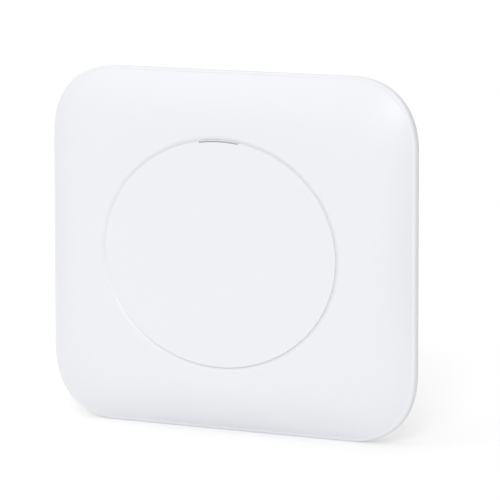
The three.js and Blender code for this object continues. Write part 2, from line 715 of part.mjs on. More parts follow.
// The port bay's walls, a frame round its cable notch, and the spaces inside both.
function portBay(skin, hollow) {
  const end = -HEIGHT / 2 + BAY_END_INSET;
  const notchTop = LIP_BACK + CABLE_NOTCH_HEIGHT;
  const mouthEnd = -BACK_HALF_HEIGHT + 2 * WALL;
  const walls = box(
    -BAY_HALF_WIDTH - BAY_WALL,
    end - BAY_WALL,
    FLAT_BACK,
    BAY_HALF_WIDTH + BAY_WALL,
    BAY_TOP + BAY_WALL,
    BAY_ROOF + BAY_WALL,
  );
  const notchWidth = CABLE_NOTCH_WIDTH + 2 * BAY_WALL;
  const frame = box(-notchWidth / 2, -HEIGHT / 2, FLAT_BACK, notchWidth / 2, end, notchTop + BAY_WALL);
  const room = box(-BAY_HALF_WIDTH, end, FLOOR, BAY_HALF_WIDTH, BAY_TOP, BAY_ROOF);
  const mouth = box(-BAY_HALF_WIDTH, mouthEnd, LIP_BACK - OVERCUT, BAY_HALF_WIDTH, BAY_TOP, BAY_ROOF);
  const notch = box(
    -CABLE_NOTCH_WIDTH / 2,
    -HEIGHT / 2,
    LIP_BACK - OVERCUT,
    CABLE_NOTCH_WIDTH / 2,
    mouthEnd + OVERCUT,
    notchTop,
  );
  const above = block(0, 0, WIDTH / 2, HEIGHT, SIDE_TOP - WALL, BAY_ROOF + BAY_WALL);
  return {
    walls: join(walls, frame).intersect(join(skin, above)),
    spaces: join(room.intersect(hollow), mouth, notch),
  };
}

// The shallow space behind the flat back, inside the lip, where the bracket lies.
function tray() {
  const outline = roundedOutline(
    BACK_HALF_WIDTH - WALL,
    BACK_HALF_HEIGHT - WALL,
    BACK_CORNER - WALL,
  );
  return loft([atLevel(outline, LIP_BACK - OVERCUT), atLevel(outline, FLAT_BACK)]);
}

// Openings in the bay's wall for the ports, and the space their bodies take behind it.
function portCutouts() {
  const through = (x, width, height, length) =>
    box(
      x - width / 2 - CONTACT,
      BAY_TOP - CONTACT / 2,
      BOARD_BACK - CONTACT - height - CONTACT,
      x + width / 2 + CONTACT,
      PORT_FACE + length + CONTACT,
      BAY_ROOF + BAY_WALL + OVERCUT,
    );
  return [
    ...JACK_X.map((x) => through(x, JACK_WIDTH, JACK_HEIGHT, JACK_LENGTH)),
    through(POWER_X, POWER_WIDTH, POWER_HEIGHT, POWER_LENGTH),
    rod(SWITCH_X, RESET_Z, RESET_HOLE, BAY_TOP - OVERCUT, BAY_TOP + BAY_WALL + OVERCUT, SMALL_ROUND),
  ];
}

// ---------------------------------------------------------------- ports

const SOCKET_Z = JACK_BACK + SOCKET_SILL; // lowest level of the socket
const RESET_Z = BOARD_BACK - CONTACT - SWITCH_HEIGHT / 2;
const SWITCH_FACE = BAY_TOP + BAY_WALL + SWITCH_GAP;
const SWITCH_FLOOR = SWITCH_FACE + SWITCH_LENGTH - SWITCH_WALL;

function ethernetJack(x) {
  const socketEnd = PORT_FACE + SOCKET_DEPTH;
  const latchSlotLength = SOCKET_DEPTH - LATCH_SLOT_END;
  const latchSlot = block(
    x,
    PORT_FACE + latchSlotLength / 2,
    LATCH_SLOT_WIDTH,
    latchSlotLength,
    SOCKET_Z - LATCH_SLOT_HEIGHT,
    SOCKET_Z + OVERCUT,
  );
  const body = box(
    x - JACK_WIDTH / 2,
    PORT_FACE,
    JACK_BACK,
    x + JACK_WIDTH / 2,
    PORT_FACE + JACK_LENGTH,
    JACK_BACK + JACK_HEIGHT,
  );
  const socket = box(
    x - SOCKET_WIDTH / 2,
    PORT_FACE - OVERCUT,
    SOCKET_Z,
    x + SOCKET_WIDTH / 2,
    socketEnd,
    SOCKET_Z + SOCKET_HEIGHT,
  );
  return cut(body, socket, latchSlot);
}

// Eight sprung wires on one carrier at the back of a socket.
function jackContacts(x) {
  const top = SOCKET_Z + SOCKET_HEIGHT - CONTACT;
  const end = PORT_FACE + SOCKET_DEPTH - CONTACT;
  const wireEnd = end - CARRIER_LENGTH;
  const width = CONTACT_COUNT * CONTACT_PITCH + 2 * CARRIER_MARGIN;
  const wires = Array.from({ length: CONTACT_COUNT }, (_, i) => {
    const wireX = x + (i - (CONTACT_COUNT - 1) / 2) * CONTACT_PITCH;
    return box(
      wireX - CONTACT_SIZE / 2,
      wireEnd - CONTACT_LENGTH,
      top - 2 * CONTACT_SIZE,
      wireX + CONTACT_SIZE / 2,
      wireEnd + JOIN,
      top - CONTACT_SIZE,
    );
  });
  return join(box(x - width / 2, wireEnd, top - CARRIER_HEIGHT, x + width / 2, end, top), ...wires);
}

function powerJack() {
  const back = BOARD_BACK - CONTACT - POWER_HEIGHT;
  const centre = back + POWER_HEIGHT / 2;
  return cut(
    box(
      POWER_X - POWER_WIDTH / 2,
      PORT_FACE,
      back,
      POWER_X + POWER_WIDTH / 2,
      PORT_FACE + POWER_LENGTH,
      back + POWER_HEIGHT,
    ),
    rod(POWER_X, centre, POWER_BORE, PORT_FACE - OVERCUT, PORT_FACE + POWER_BORE_DEPTH, FINE_ROUND),
  );
}

function powerPin() {
  const centre = BOARD_BACK - CONTACT - POWER_HEIGHT / 2;
  const end = PORT_FACE + POWER_BORE_DEPTH - CONTACT;
  return rod(POWER_X, centre, POWER_PIN, PORT_FACE + POWER_PIN, end, TINY_ROUND);
}

function resetSwitch() {
  return cut(
    box(
      SWITCH_X - SWITCH_WIDTH / 2,
      SWITCH_FACE,
      RESET_Z - SWITCH_HEIGHT / 2,
      SWITCH_X + SWITCH_WIDTH / 2,
      SWITCH_FACE + SWITCH_LENGTH,
      RESET_Z + SWITCH_HEIGHT / 2,
    ),
    rod(SWITCH_X, RESET_Z, RESET_RADIUS + RUNNING, SWITCH_FACE - OVERCUT, SWITCH_FLOOR, SMALL_ROUND),
  );
}

function resetButton() {
  const end = SWITCH_FLOOR - RESET_TRAVEL - CONTACT;
  return rod(SWITCH_X, RESET_Z, RESET_RADIUS, end - RESET_LENGTH, end, SMALL_ROUND);
}

// ---------------------------------------------------------------- circuit board

function mainBoard() {
  const holes = standoffPlaces.map(([x, y]) =>
    post(x, y, SHANK_RADIUS + CONTACT, BOARD_BACK - OVERCUT, BOARD_FRONT + OVERCUT, SMALL_ROUND),
  );
  const board = block(0, 0, 2 * BOARD_HALF_WIDTH, 2 * BOARD_HALF_HEIGHT, BOARD_BACK, BOARD_FRONT);
  return cut(board, ...holes);
}

// Two radios side by side in the upper row, and the processor in the lower one.
const upperRow = [SHIELD_ROW + SHIELD_GAP / 2, BOARD_HALF_HEIGHT - SHIELD_TOP_EDGE];
const lowerRow = [-BOARD_HALF_HEIGHT + SHIELD_LOW_EDGE, SHIELD_ROW - SHIELD_GAP / 2];
const RADIO_OUTER = BOARD_HALF_WIDTH - SHIELD_SIDE;
const shields = [
  { name: "radio_5ghz", x: [-RADIO_OUTER, -SHIELD_SPLIT], y: upperRow },
  { name: "radio_2ghz", x: [SHIELD_SPLIT, RADIO_OUTER], y: upperRow },
  { name: "processor", x: [-PROCESSOR_WIDTH / 2, PROCESSOR_WIDTH / 2], y: lowerRow },
];

// A box in front of a shield's place, its sides `inset` within the shield's.
const overShield = ({ x, y }, inset, z0, z1) =>
  box(x[0] + inset, y[0] + inset, z0, x[1] - inset, y[1] - inset, z1);

// A pressed lid, open towards the board.
function shieldCan(shield) {
  const base = BOARD_FRONT + CONTACT;
  return cut(
    overShield(shield, 0, base, SHIELD_TOP),
    overShield(shield, SHIELD_WALL, base - OVERCUT, SHIELD_TOP - SHIELD_WALL),
  );
}

const thermalPad = (shield) => overShield(shield, PAD_MARGIN, SHIELD_TOP + CONTACT, PAD_TOP);

const chip = ({ x, y }) =>
  block(
    (x[0] + x[1]) / 2,
    (y[0] + y[1]) / 2,
    CHIP_SIZE,
    CHIP_SIZE,
    BOARD_FRONT + CONTACT,
    BOARD_FRONT + CONTACT + CHIP_HEIGHT,
  );

// An aluminium plate over the shields, with a notch for the light guide and clear of the board's screws.
function heatSpreader() {
  const halfWidth = BOARD_HALF_WIDTH - SPREADER_MARGIN;
  const halfHeight = BOARD_HALF_HEIGHT - SPREADER_MARGIN;
  const z1 = SPREADER_BACK + SPREADER_THICKNESS;
  const notch = box(
    -LIGHT_LENGTH / 2 - SPREADER_NOTCH_GAP,
    CHANNEL_Y[0] - SPREADER_NOTCH_GAP,
    SPREADER_BACK - OVERCUT,
    LIGHT_LENGTH / 2 + SPREADER_NOTCH_GAP,
    HEIGHT / 2,
    z1 + OVERCUT,
  );
  const feet = [-1, 1].flatMap((sx) =>
    [-1, 1].map((sy) =>
      block(
        sx * (halfWidth - SPREADER_THICKNESS / 2),
        (sy * halfHeight) / 2,
        SPREADER_THICKNESS,
        FOOT_WIDTH,
        BOARD_FRONT + CONTACT,
        SPREADER_BACK + SPREADER_THICKNESS / 2,
      ),
    ),
  );
  return cut(
    join(block(0, 0, 2 * halfWidth, 2 * halfHeight, SPREADER_BACK, z1), ...feet),
    notch,
    ...standoffPlaces.map(([x, y]) =>
      post(x, y, HEAD_RADIUS + SPREADER_SCREW_GAP, SPREADER_BACK - OVERCUT, z1 + OVERCUT, SMALL_ROUND),
    ),
  );
}

// A part standing on the board's ceiling side.
const hanging = (x, y, width, height, depth) =>
  block(x, y, width, height, BOARD_BACK - CONTACT - depth, BOARD_BACK - CONTACT);

// The line transformers stand behind the jacks, and the power converter near the upper edge.
const LINE_TRANSFORMER_Y = PORT_FACE + JACK_LENGTH + LINE_TRANSFORMER_GAP + LINE_TRANSFORMER_HEIGHT / 2;
const CONVERTER_Y = BOARD_HALF_HEIGHT - CONVERTER_EDGE - CORE_HEIGHT / 2;

// ---------------------------------------------------------------- antennas

const antennaBoard = (place) =>
  antennaBlock(
    place,
    0,
    ANTENNA_LENGTH,
    ANTENNA_THICKNESS,
    FLOOR + CONTACT,
    FLOOR + CONTACT + ANTENNA_HEIGHT,
  );

// Where each antenna's lead plugs into the front of the board.
function plugPlace({ x, y }) {
  return [
    THREE.MathUtils.clamp(x, -BOARD_HALF_WIDTH + PLUG_SIDE, BOARD_HALF_WIDTH - PLUG_SIDE),
    THREE.MathUtils.clamp(y - PLUG_DROP, -BOARD_HALF_HEIGHT + PLUG_SIDE, BOARD_HALF_HEIGHT - PLUG_TOP),
  ];
}

function coaxPlug(place) {
  const [x, y] = plugPlace(place);
  const foot = BOARD_FRONT + CONTACT;
  return post(x, y, PLUG_RADIUS, foot, foot + PLUG_HEIGHT, TINY_ROUND);
}

// A thin lead from the antenna's inner face, over the board's edge, to its plug.
function coaxLead(place) {
  const [plugX, plugY] = plugPlace(place);
  const inwardX = place.turned ? -Math.sign(place.x) : 0;
  const inwardY = place.turned ? 0 : -1;
  const clear = ANTENNA_THICKNESS / 2 + CONTACT + COAX_RADIUS;
  const startX = place.x + inwardX * clear;
  const startY = place.y + inwardY * clear;
  const startZ = FLOOR + ANTENNA_HEIGHT * LEAD_START;
  const edgeX = place.turned ? Math.sign(place.x) * (BOARD_HALF_WIDTH + LEAD_OUTSIDE) : startX;
  const edgeY = place.turned ? startY : BOARD_HALF_HEIGHT + LEAD_OUTSIDE;
  const over = BOARD_FRONT + CONTACT + PLUG_HEIGHT / 2;
  const reach = PLUG_RADIUS + CONTACT + COAX_RADIUS;
  const route = new THREE.CatmullRomCurve3(
    [
      [startX, startY, startZ],
      [(startX + edgeX) / 2, (startY + edgeY) / 2, startZ + 2 * LEAD_ARCH],
      [edgeX, edgeY, over - JOIN],
      [(edgeX + plugX) / 2, (edgeY + plugY) / 2, over + LEAD_ARCH],
      [plugX - inwardX * (reach + OVERCUT), plugY - inwardY * (reach + OVERCUT), over + LEAD_LIFT],
      [plugX - inwardX * reach, plugY - inwardY * reach, over + LEAD_LIFT],
    ].map((p) => new THREE.Vector3(...p)),
  );
  const section = new THREE.Shape();
  section.absarc(0, 0, COAX_RADIUS, 0, 2 * Math.PI);
  const g = new THREE.ExtrudeGeometry(section, { steps: 14, curveSegments: 4, extrudePath: route });
  return solidOf(g);
}

// ---------------------------------------------------------------- bracket

const LATCH_Y = PLATE_HALF_HEIGHT - LATCH_WIDTH / 2 - LATCH_EDGE;
const LATCH_ROOT = LATCH_LENGTH / 2; // x of the hinge line
const LATCH_TIP = -LATCH_LENGTH / 2;

// A round plate with its top and bottom cut straight, and a throat for the cables.
function bracketOutline() {
  const steps = 14;
  const start = Math.asin(PLATE_HALF_HEIGHT / PLATE_RADIUS);
  const side = (from, to) =>
    Array.from({ length: steps + 1 }, (_, i) => {
      const a = from + ((to - from) * i) / steps;
      return [PLATE_RADIUS * Math.cos(a), PLATE_RADIUS * Math.sin(a)];
    });
  const throat = BAY_HALF_WIDTH + THROAT_SIDE;
  const throatTop = BAY_TOP + THROAT_TOP;
  return [
    ...side(-start, start),
    ...side(Math.PI - start, Math.PI + start),
    [-throat, -PLATE_HALF_HEIGHT],
    [-throat, throatTop],
    [throat, throatTop],
    [throat, -PLATE_HALF_HEIGHT],
  ];
}

function mountingBracket() {
  const studs = studAngles.flatMap((angle) => {
    const x = STUD_CIRCLE * Math.cos(rad(angle));
    const y = STUD_CIRCLE * Math.sin(rad(angle));
    const headBack = FLOOR + RUNNING;
    return [
      post(x, y, STUD_NECK, PLATE_THICKNESS - JOIN, headBack + JOIN),
      post(x, y, STUD_HEAD, headBack, headBack + STUD_HEAD_THICKNESS),
    ];
  });
  const throughPlate = [-OVERCUT, PLATE_THICKNESS + OVERCUT];
  const holeX = (PLATE_RADIUS - WALL_SCREW_EDGE) * Math.cos(rad(WALL_SCREW_ANGLE));
  const holeY = (PLATE_RADIUS - WALL_SCREW_EDGE) * Math.sin(rad(WALL_SCREW_ANGLE));
  const wallHoles = [-1, 1].flatMap((sx) =>
    [-1, 1].map((sy) => post(sx * holeX, sy * holeY, SCREW_HOLE, ...throughPlate, SMALL_ROUND)),
  );
  const boxSlots = [-1, 1].map((side) =>
    slot((side * BOX_SCREW_SPACING) / 2, 0, SCREW_SLOT_LENGTH, SCREW_HOLE, ...throughPlate),
  );
  const latchWindow = box(
    LATCH_TIP - LATCH_GAP,
    LATCH_Y - LATCH_WIDTH / 2 - LATCH_GAP,
    throughPlate[0],
    LATCH_ROOT + CONTACT,
    LATCH_Y + LATCH_WIDTH / 2 + LATCH_GAP,
    throughPlate[1],
  );
  const plateBody = plate(bracketOutline(), 0, PLATE_THICKNESS);
  return cut(join(plateBody, ...studs), ...wallHoles, ...boxSlots, latchWindow);
}

// A sprung arm in the plate's window, with a bump that holds the unit from turning back.
function latchArm() {
  const back = PLATE_THICKNESS - LATCH_THICKNESS;
  const half = LATCH_WIDTH / 2;
  return join(
    box(LATCH_TIP, LATCH_Y - half, back, LATCH_ROOT, LATCH_Y + half, PLATE_THICKNESS),
    post(
      LATCH_TIP + LATCH_BUMP_RADIUS + LATCH_BUMP_EDGE,
      LATCH_Y,
      LATCH_BUMP_RADIUS,
      PLATE_THICKNESS - JOIN,
      PLATE_THICKNESS + LATCH_BUMP,
    ),
  );
}

// ---------------------------------------------------------------- screws

// A pan-head screw whose head seats at `seat` and whose shank runs along z from there.
function screw([x, y], seat, length, headHeight, direction) {
  const headEnd = seat - direction * headHeight;
  const tip = seat + direction * length;
  const root = seat - direction * JOIN;
  return join(
    post(x, y, HEAD_RADIUS, Math.min(seat, headEnd), Math.max(seat, headEnd), SMALL_ROUND),
    post(x, y, SHANK_RADIUS, Math.min(root, tip), Math.max(root, tip), TINY_ROUND),
  );
}

// ---------------------------------------------------------------- assembly

const unit = new THREE.Group();
unit.rotation.x = Math.PI / 2;

function add(name, solid, material) {
  const mesh = new THREE.Mesh(geometryOf(solid), material);
  mesh.name = name;
  unit.add(mesh);
}

add("mounting_bracket", mountingBracket(), BRACKET_GREY);
add("latch_arm", latchArm(), BRACKET_GREY);
add("rear_housing", rearHousing(), WHITE_HOUSING);
add("front_cover", frontCover(), WHITE_COVER);
add("light_guide", lightGuide(), LIGHT_GREY);
add("status_led", block(0, LED_Y, LED_SIZE, LED_SIZE, BOARD_FRONT + CONTACT, LED_TOP), LED_YELLOW);
add("main_board", mainBoard(), BOARD_GREEN);
add("heat_spreader", heatSpreader(), ALUMINIUM);

for (const shield of shields) {
  add(`shield_${shield.name}`, shieldCan(shield), TIN);
  add(`chip_${shield.name}`, chip(shield), BLACK_PLASTIC);
  add(`thermal_pad_${shield.name}`, thermalPad(shield), PAD_BLUE);
}

["poe", "lan"].forEach((name, i) => {
  add(`ethernet_jack_${name}`, ethernetJack(JACK_X[i]), TIN);
  add(`jack_contacts_${name}`, jackContacts(JACK_X[i]), GOLD);
  add(
    `line_transformer_${name}`,
    hanging(
      JACK_X[i],
      LINE_TRANSFORMER_Y,
      LINE_TRANSFORMER_WIDTH,
      LINE_TRANSFORMER_HEIGHT,
      LINE_TRANSFORMER_DEPTH,
    ),
    BLACK_PLASTIC,
  );
});

add("power_jack", powerJack(), BLACK_PLASTIC);
add("power_jack_pin", powerPin(), GOLD);
add("reset_switch", resetSwitch(), BLACK_PLASTIC);
add("reset_button", resetButton(), LED_YELLOW);

const INDUCTOR_X = CORE_X + CORE_WIDTH / 2 + CONVERTER_GAP + INDUCTOR_SIZE / 2;
const CAPACITOR_X = INDUCTOR_X + INDUCTOR_SIZE / 2 + CONVERTER_GAP + CAPACITOR_RADIUS;
add(
  "power_transformer",
  hanging(CORE_X, CONVERTER_Y, CORE_WIDTH, CORE_HEIGHT, CORE_DEPTH),
  CORE_GREY,
);
add(
  "power_inductor",
  hanging(INDUCTOR_X, CONVERTER_Y, INDUCTOR_SIZE, INDUCTOR_SIZE, INDUCTOR_DEPTH),
  CORE_GREY,
);
[0, 1].forEach((i) => {
  const x = CAPACITOR_X + i * (2 * CAPACITOR_RADIUS + CAPACITOR_GAP);
  const foot = BOARD_BACK - CONTACT;
  add(
    `capacitor_${i + 1}`,
    post(x, CONVERTER_Y, CAPACITOR_RADIUS, foot - CAPACITOR_LENGTH, foot, FINE_ROUND),
    SLEEVE_BLUE,
  );
});

for (const place of antennaPlaces) {
  add(`antenna_${place.name}`, antennaBoard(place), BOARD_GREEN);
  add(`antenna_lead_${place.name}`, coaxLead(place), BLACK_PLASTIC);
  add(`antenna_plug_${place.name}`, coaxPlug(place), GOLD);
}

bossPlaces.forEach((place, i) => {
  add(
    `housing_screw_${i + 1}`,
    screw(place, SHELF - CONTACT, COVER_SCREW_LENGTH, HEAD_HEIGHT, 1),
    SCREW_STEEL,
  );
});
standoffPlaces.forEach((place, i) => {
  add(
    `board_screw_${i + 1}`,
    screw(place, BOARD_FRONT + CONTACT, BOARD_SCREW_LENGTH, BOARD_SCREW_HEAD, -1),
    SCREW_STEEL,
  );
});

add(
  "rating_label",
  block(0, VENT_Y, LABEL_WIDTH, LABEL_HEIGHT, FLAT_BACK + CONTACT - LABEL_THICKNESS, FLAT_BACK + CONTACT),
  LABEL_SILVER,
);

const part = new THREE.Group();
part.add(unit);

export default part;
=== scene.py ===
import math

import bmesh
import bpy
from mathutils import Matrix, Vector


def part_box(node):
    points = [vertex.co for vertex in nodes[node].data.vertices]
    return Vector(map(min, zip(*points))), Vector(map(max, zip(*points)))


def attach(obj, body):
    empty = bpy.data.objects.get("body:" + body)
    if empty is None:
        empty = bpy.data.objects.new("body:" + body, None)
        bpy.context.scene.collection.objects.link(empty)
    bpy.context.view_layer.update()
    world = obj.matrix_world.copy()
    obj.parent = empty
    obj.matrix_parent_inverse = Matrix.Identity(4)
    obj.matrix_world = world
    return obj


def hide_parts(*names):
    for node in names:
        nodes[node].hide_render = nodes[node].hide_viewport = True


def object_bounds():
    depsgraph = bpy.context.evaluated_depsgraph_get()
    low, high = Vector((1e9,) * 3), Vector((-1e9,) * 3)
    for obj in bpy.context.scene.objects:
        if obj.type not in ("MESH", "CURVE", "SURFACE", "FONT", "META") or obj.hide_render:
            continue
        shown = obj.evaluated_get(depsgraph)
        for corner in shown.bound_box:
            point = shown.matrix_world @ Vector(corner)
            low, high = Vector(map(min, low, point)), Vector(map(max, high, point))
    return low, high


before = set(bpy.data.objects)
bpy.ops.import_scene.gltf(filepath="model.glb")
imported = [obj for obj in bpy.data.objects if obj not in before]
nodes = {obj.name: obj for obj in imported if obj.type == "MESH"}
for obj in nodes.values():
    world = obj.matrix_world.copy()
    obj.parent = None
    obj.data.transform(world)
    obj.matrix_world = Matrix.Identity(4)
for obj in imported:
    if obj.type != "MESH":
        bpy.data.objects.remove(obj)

cad_low, cad_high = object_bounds()

# ---------------------------------------------------------------- studio
# The unit stands on its lower edge on a pale floor, in a white tent that is brighter overhead and to the
# left, with one soft light in front and to the right. The camera is far off on a long lens, to the right
# and a little above.

VIEW_TURN = math.radians(28.2)  # to the right of straight on
VIEW_RISE = math.radians(7.7)
VIEW_ROLL = math.radians(0.06)
VIEW_DISTANCE = 1.924
VIEW_LENS = 277.8
VIEW_AIM = Vector((0.0114, -0.0246, 0.0016))


def direction_from(turn, rise):
    """The direction of something that stands to the right of straight on and above the level."""
    return Vector((math.sin(turn) * math.cos(rise), -math.cos(turn) * math.cos(rise), math.sin(rise)))


back = direction_from(VIEW_TURN, VIEW_RISE)
camera = bpy.data.objects.new("camera", bpy.data.cameras.new("camera"))
bpy.context.scene.collection.objects.link(camera)
camera.data.lens = VIEW_LENS
camera.data.sensor_width = 36
camera.data.clip_start = 0.05
camera.data.clip_end = 60
camera.location = VIEW_AIM + back * VIEW_DISTANCE
camera.rotation_euler = (
    (-back).to_track_quat("-Z", "Y").to_matrix() @ Matrix.Rotation(-VIEW_ROLL, 3, "Z")
).to_euler()
bpy.context.scene.camera = camera
bpy.context.scene.view_settings.view_transform = "Standard"

TENT_LIGHT = 0.29
TENT_SLOPE = (-0.33, 0.0, 0.96)  # its light grows towards the left and the roof


def add_node(tree, kind, inputs=None, out=0, **settings):
    """Adds a node and returns one of its outputs. Its inputs are values or other nodes' outputs."""
    node = tree.nodes.new(kind)
    for key, value in settings.items():
        setattr(node, key, value)
    for key, value in (inputs or {}).items():
        if isinstance(value, bpy.types.NodeSocket):
            tree.links.new(value, node.inputs[key])
        else:
            node.inputs[key].default_value = value
    return node.outputs[out]


tent = bpy.data.worlds.new("tent")
bpy.context.scene.world = tent
tent.use_nodes = True
cloth = tent.node_tree
direction = add_node(cloth, "ShaderNodeTexCoord", out="Generated")
slope = add_node(cloth, "ShaderNodeVectorMath", {0: direction, 1: TENT_SLOPE}, "Value",
                 operation="DOT_PRODUCT")
brightness = add_node(cloth, "ShaderNodeMath", {0: slope, 1: TENT_LIGHT})
ray = add_node(cloth, "ShaderNodeLightPath", out="Is Camera Ray")
seen = add_node(cloth, "ShaderNodeMath", {0: brightness, 1: ray}, operation="MAXIMUM")  # white when seen
cloth.links.new(seen, cloth.nodes["Background"].inputs["Strength"])
cloth.nodes["Background"].inputs["Color"].default_value = (1.0, 1.0, 1.0, 1)

SOFT_LIGHT = 1.14
SOFT_LIGHT_ANGLE = math.radians(20)
SOFT_LIGHT_TURN = math.radians(22)
SOFT_LIGHT_RISE = math.radians(29)

soft_light = bpy.data.objects.new("soft_light", bpy.data.lights.new("soft_light", "SUN"))
bpy.context.scene.collection.objects.link(soft_light)
soft_light.data.energy = SOFT_LIGHT
soft_light.data.angle = SOFT_LIGHT_ANGLE
soft_light.rotation_euler = (
    direction_from(SOFT_LIGHT_TURN, SOFT_LIGHT_RISE).to_track_quat("Z", "Y").to_euler()
)

FLOOR_REACH = 14.0
FLOOR_GLOW = 0.275  # it is lit from below as well
FLOOR_PALE = 0.68

floor_mesh = bpy.data.meshes.new("floor")
floor_mesh.from_pydata(
    [(x * FLOOR_REACH, y * FLOOR_REACH, cad_low.z) for x, y in ((-1, -1), (1, -1), (1, 1), (-1, 1))],
    [],
    [(0, 1, 2, 3)],
)
floor = bpy.data.objects.new("floor", floor_mesh)
bpy.context.scene.collection.objects.link(floor)

floor_paint = bpy.data.materials.new("floor_paint")
floor_paint.use_nodes = True
floor_shader = floor_paint.node_tree.nodes["Principled BSDF"]
floor_shader.inputs["Base Color"].default_value = (FLOOR_PALE, FLOOR_PALE, FLOOR_PALE, 1)
floor_shader.inputs["Emission Color"].default_value = (1.0, 1.0, 1.0, 1)
floor_shader.inputs["Emission Strength"].default_value = FLOOR_GLOW
floor_shader.inputs["Roughness"].default_value = 0.9
floor_mesh.materials.append(floor_paint)

# ---------------------------------------------------------------- mounting bracket
# A light grey moulded plate that is screwed to the ceiling. Its four mushroom studs go into the unit's
# keyholes. It has a throat for the cables, two slots for a junction box and four plain screw holes.

MM = 0.001
PLATE = 2.5 * MM
STUD_ANGLES = [math.radians(a) for a in (20, -20, 160, 200)]
STUD_NECK = 2.5 * MM
STUD_HEAD = 4.5 * MM
STUD_EDGE = 9.5 * MM
STUD_HEAD_THICKNESS = 2.0 * MM
SCREW_HOLE = 1.95 * MM
BOX_SLOT_REACH = 2.55 * MM  # of a slot's round ends from its middle
BOX_SCREW_X = 30 * MM
WALL_SCREW_X = 38.97 * MM
WALL_SCREW_Z = 23.97 * MM
THROAT_HALF = 29.1 * MM
THROAT_TOP = -22 * MM
WINDOW_GAP = 0.8 * MM
CONTACT = 0.3 * MM  # gap between pieces that rest on each other
PLATE_GROOVE = 0.6 * MM  # depth of the shallow channel in the plate's back
CHANNEL_INSET = 3.0 * MM  # of the channel's outer side from the plate's edge
CHANNEL_WIDTH = 1.6 * MM
CHANNEL_SWEEP = 0.62  # radians either side of level
JOIN = 0.5 * MM  # how far joined solids run into each other
PAST = 1.0 * MM  # how far a cut runs past a face
ROUND_STEPS = 48


def new_object(name, mesh):
    made = bpy.data.objects.new(name, mesh)
    bpy.context.scene.collection.objects.link(made)
    return made


def slab(outline, low, high):
    """A plate: an outline in x and z, from one height out of the ceiling to another."""
    mesh = bpy.data.meshes.new("slab")
    count = len(outline)
    corners = [(x, -low, z) for x, z in outline] + [(x, -high, z) for x, z in outline]
    faces = [tuple(range(count)), tuple(reversed(range(count, 2 * count)))]
    for i in range(count):
        j = (i + 1) % count
        faces.append((i, count + i, count + j, j))
    mesh.from_pydata(corners, [], faces)
    made = new_object("slab", mesh)
    set_outwards(mesh)
    return made


def set_outwards(mesh):
    shape = bmesh.new()
    shape.from_mesh(mesh)
    bmesh.ops.recalc_face_normals(shape, faces=shape.faces)
    shape.to_mesh(mesh)
    shape.free()


def block(x0, x1, z0, z1, low, high):
    return slab([(x0, z0), (x1, z0), (x1, z1), (x0, z1)], low, high)


def circle(x, z, radius, steps=ROUND_STEPS, start=0.0, end=2 * math.pi):
    closed = end - start > 6.28
    return [
        (x + radius * math.cos(start + (end - start) * i / steps),
         z + radius * math.sin(start + (end - start) * i / steps))
        for i in range(steps if closed else steps + 1)
    ]


def post(x, z, radius, low, high, steps=ROUND_STEPS):
    return slab(circle(x, z, radius, steps), low, high)


def carve(target, added=(), removed=(), limits=()):
    """Joins solids to a solid, cuts others out of it and keeps what is within the limits.

    The solids that it works with are used up.
    """
    for operation, tools in (("UNION", added), ("DIFFERENCE", removed), ("INTERSECT", limits)):
        for tool in tools:
            change = target.modifiers.new("change", "BOOLEAN")
            change.operation = operation
            change.solver = "MANIFOLD"
            change.object = tool
    apply_modifiers(target)
    for tool in (*added, *removed, *limits):
        bpy.data.objects.remove(tool)
    return target


def apply_modifiers(target):
    bpy.context.view_layer.update()
    evaluated = target.evaluated_get(bpy.context.evaluated_depsgraph_get())
    result = bpy.data.meshes.new_from_object(evaluated)
    target.modifiers.clear()
    target.data = result


def soften(piece, width, angle=40, segments=2):
    """Rounds a moulding's edges a little and smooths the rest."""
    bevel = piece.modifiers.new("edges", "BEVEL")
    bevel.width = width
    bevel.segments = segments
    bevel.limit_method = "ANGLE"
    bevel.angle_limit = math.radians(angle)
    bevel.miter_outer = "MITER_ARC"
    piece.data.shade_smooth()
    normals = piece.modifiers.new("normals", "WEIGHTED_NORMAL")
    normals.keep_sharp = True


def dress(piece, material, body, slot, *replaced):
    """Gives a finished piece its material, puts it under the body that carries it and hides the nodes that it
    stands for.
    """
    piece.data.materials.clear()
    piece.data.materials.append(material)
    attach(piece, body)
    if replaced:
        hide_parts(*replaced)
    return piece


def middle_of(node):
    low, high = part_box(node)
    return [(a + b) / 2 for a, b in zip(low, high)]


bracket_low, bracket_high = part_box("mounting_bracket")
latch_low, latch_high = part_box("latch_arm")
PLATE_RADIUS = bracket_high.x
PLATE_HALF_HEIGHT = bracket_high.z

